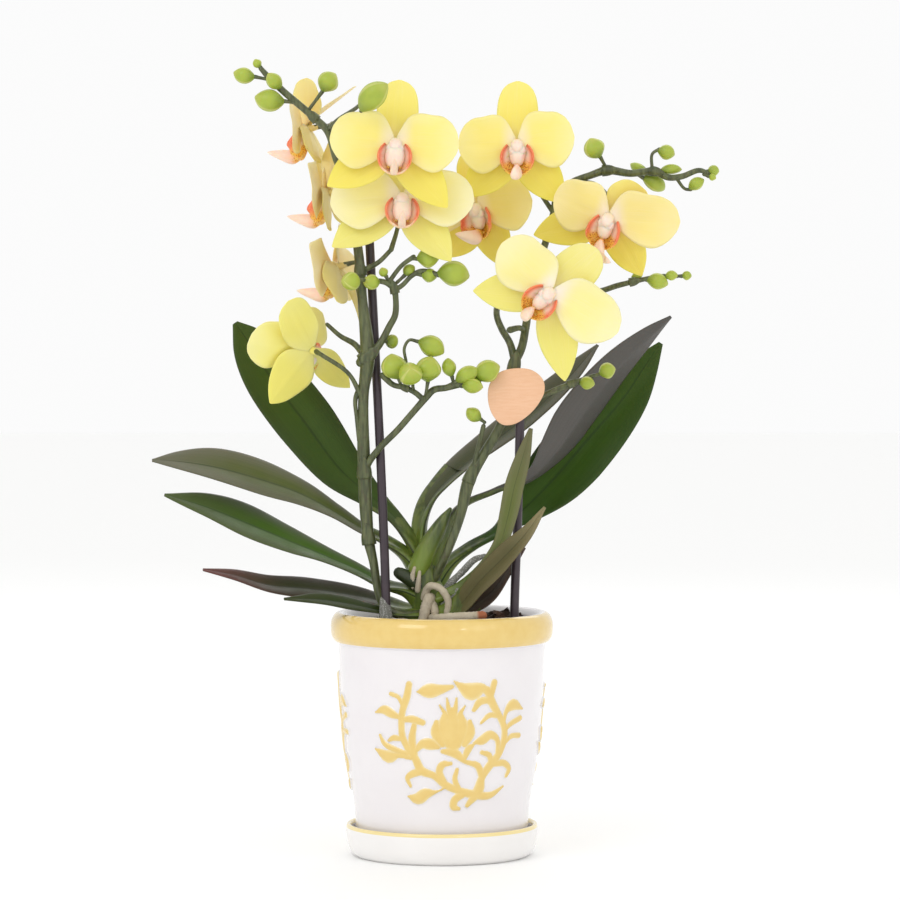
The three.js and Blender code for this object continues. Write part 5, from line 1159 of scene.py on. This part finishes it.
def lip_tongue(shape, base, end, red):
    """The narrow, boat-shaped middle lobe of the lip, from the cup's lower edge to its pale tip."""
    middle = [end[0] * 0.5, (end[1] - 14) / 2, 14.5]
    line = through([[0, -12.4, 3.4], [end[0] * 0.1, -13.4, 8.5], middle, end], 28)
    s = np.linspace(0, 1, 29)[:, None]
    q = way_round(20)
    half = eased(BELLY, s) * (0.65 + 0.35 * red)
    x = line[:, :1] + np.sin(q) * half * (0.62 + 0.1 * red) * (1 - 0.35 * np.cos(q))
    y = line[:, 1:2] + np.cos(q) * half
    gold = np.interp(s, [0, 0.2, 0.5], [1.1, 0.55, 0]) * red
    tint = xyz(0.45 * (1 - s) * red + 0 * q, gold, s)
    shape.skin(base.place(xyz(x, y, line[:, 2:])), tint, LIP_SLOT)


def column(shape, base, red):
    """The column's cap, and the cream dome under it, which is wide where little of the lip is red."""
    wide = 5.2 - 1.4 * red
    line = base.place(through([[0, -0.4, 1], [0, -0.4, 2.2], [0, -1.2, 3.2]], 16))
    tube(shape, line, np.linspace(3.0, 3.3, 17), 20, slot=COLUMN_SLOT)
    lump(shape, base, (0, -2.8, 3.2), (3.4 + 0.2 * wide, 3.4, 2.3), (0, 0.9, 0), COLUMN_SLOT)
    lump(shape, base, (0, -1.8 - wide, 3.8 - 1.4 * red), (wide, wide * 1.4, 3.2), (0, 0.7, 0), COLUMN_SLOT)
    for hand in (-1, 1):
        lump(shape, base, (hand * 2.8, -12, 4.6), (0.8, 0.6, 0.9), (0, 2, 0), LIP_SLOT)


def make_blooms():
    petals = {name: petal_look("petal_" + name, colours) for name, colours in PETAL_COLOURS.items()}
    inner = [lip_look(), column_look()]
    for i, (name, spec) in enumerate(BLOOMS.items()):
        shape = Shape()
        draw = random.Random(100 + i)
        base = BloomFrame(**spec)
        red = spec.get("red", 1.0)
        tips = spec.get("tips", [None] * len(TEPALS))
        changes = spec.get("adjust", []) + [{}] * len(TEPALS)
        for one, tip, change in zip(TEPALS, tips, changes):
            one = {**one, **change}
            tepal(shape, base, draw, **{**one, **base.aimed(tip, one)})
        lip_cup(shape, base, red)
        lip_tongue(shape, base, spec.get("tongue", TONGUE), red)
        column(shape, base, red)
        neck = base.place(through([[0, -1, 1.5], [0, -0.4, -2.4], [0, 0, -NECK]], 10))
        tube(shape, neck, np.linspace(2.6, 1.2, 11), 16, 0.5)
        shape.piece(name + "_petals", [petals[spec["colour"]], *inner], name)


# ---------------------------------------------------------------- tag
TAG_AT = (36.5, 226.5, -17.8)
TAG_THICK = 1.2
TAG_EDGE = [
    [-8, 12], [0, 14], [8, 13], [13.2, 8.5], [14, 3], [11, -3.5], [5.5, -9.5], [-1, -13.4], [-6.5, -13.6],
    [-11, -9.5], [-13.6, -2], [-12.8, 6.5],
]
TAG_LAYERS = [(0, 0.97), (0.1, 0.993), (0.25, 1), (0.75, 1), (0.9, 0.993), (1, 0.97)]  # depth, scale
TAG_STEPS = 8  # points between two corners


def make_tag():
    shape = Shape()
    edge = TAG_EDGE[-2:] + TAG_EDGE + TAG_EDGE[:2]
    line = through([[x, z, 0] for x, z in edge], TAG_STEPS * (len(edge) - 1))
    x, z, _ = line[2 * TAG_STEPS:(2 + len(TAG_EDGE)) * TAG_STEPS].T
    layers = [xyz(x * scale, y * TAG_THICK, z * scale) for y, scale in TAG_LAYERS]
    shape.skin(seen(TAG_AT) + np.array(layers), (0, 0, 0))
    shape.piece("tag_plate", [tag_look()], "tag")


# ---------------------------------------------------------------- studio
FLOOR = 6.0  # half width of the floor in metres
BACKDROP = 0.97
LIGHTS = [  # place, aim, size and power
    ("key", (-0.9, -1.3, 1.3), (0, 0, 0.2), (0.9, 0.7), 5),
    ("fill", (1.1, -1.1, 0.9), (0, 0, 0.2), (0.8, 0.8), 1),
    ("window", (0.62, -1.5, 0.75), (0, 0, 0.12), (0.16, 0.3), 0.5),
    ("back", (0.2, 1.3, 1.2), (0, 0, 0.25), (1.2, 0.8), 3),
]


def make_lights():
    for name, place, aim, size, power in LIGHTS:
        data = bpy.data.lights.new(name, "AREA")
        data.shape = "RECTANGLE"
        data.size, data.size_y = size
        data.energy = power
        linked(name, data, place, aim)


def make_studio():
    scene = bpy.context.scene
    scene.view_settings.view_transform = "Standard"
    world = bpy.data.worlds.new("studio")
    world.use_nodes = True
    backdrop = world.node_tree.nodes["Background"]
    backdrop.inputs["Color"].default_value = (1.0, 1.0, 1.0, 1.0)
    backdrop.inputs["Strength"].default_value = BACKDROP
    scene.world = world
    mesh = bpy.data.meshes.new("floor")
    corners = [(-FLOOR, -FLOOR, 0), (FLOOR, -FLOOR, 0), (FLOOR, FLOOR, 0), (-FLOOR, FLOOR, 0)]
    mesh.from_pydata(corners, [], [(0, 1, 2, 3)])
    look = Look("floor", 0.8)
    look.put(look.shader.inputs["Base Color"], "#fdfdfc")
    mesh.materials.append(look.material)
    floor = linked("floor", mesh)


def make_camera():
    data = bpy.data.cameras.new("camera")
    eye, aim = Vector(EYE * MM), Vector(LOOK_AT) * MM
    data.sensor_width = SENSOR
    data.lens = SENSOR * (aim - eye).length / (VIEW_WIDTH * MM)
    data.clip_start, data.clip_end = 0.05, 50
    bpy.context.scene.camera = linked("camera", data, eye, aim)


make_camera()
make_studio()
make_lights()
make_pot()
make_saucer()
make_mix()
make_crown()
make_leaves()
make_stakes()
make_spikes()
make_blooms()
make_tag()
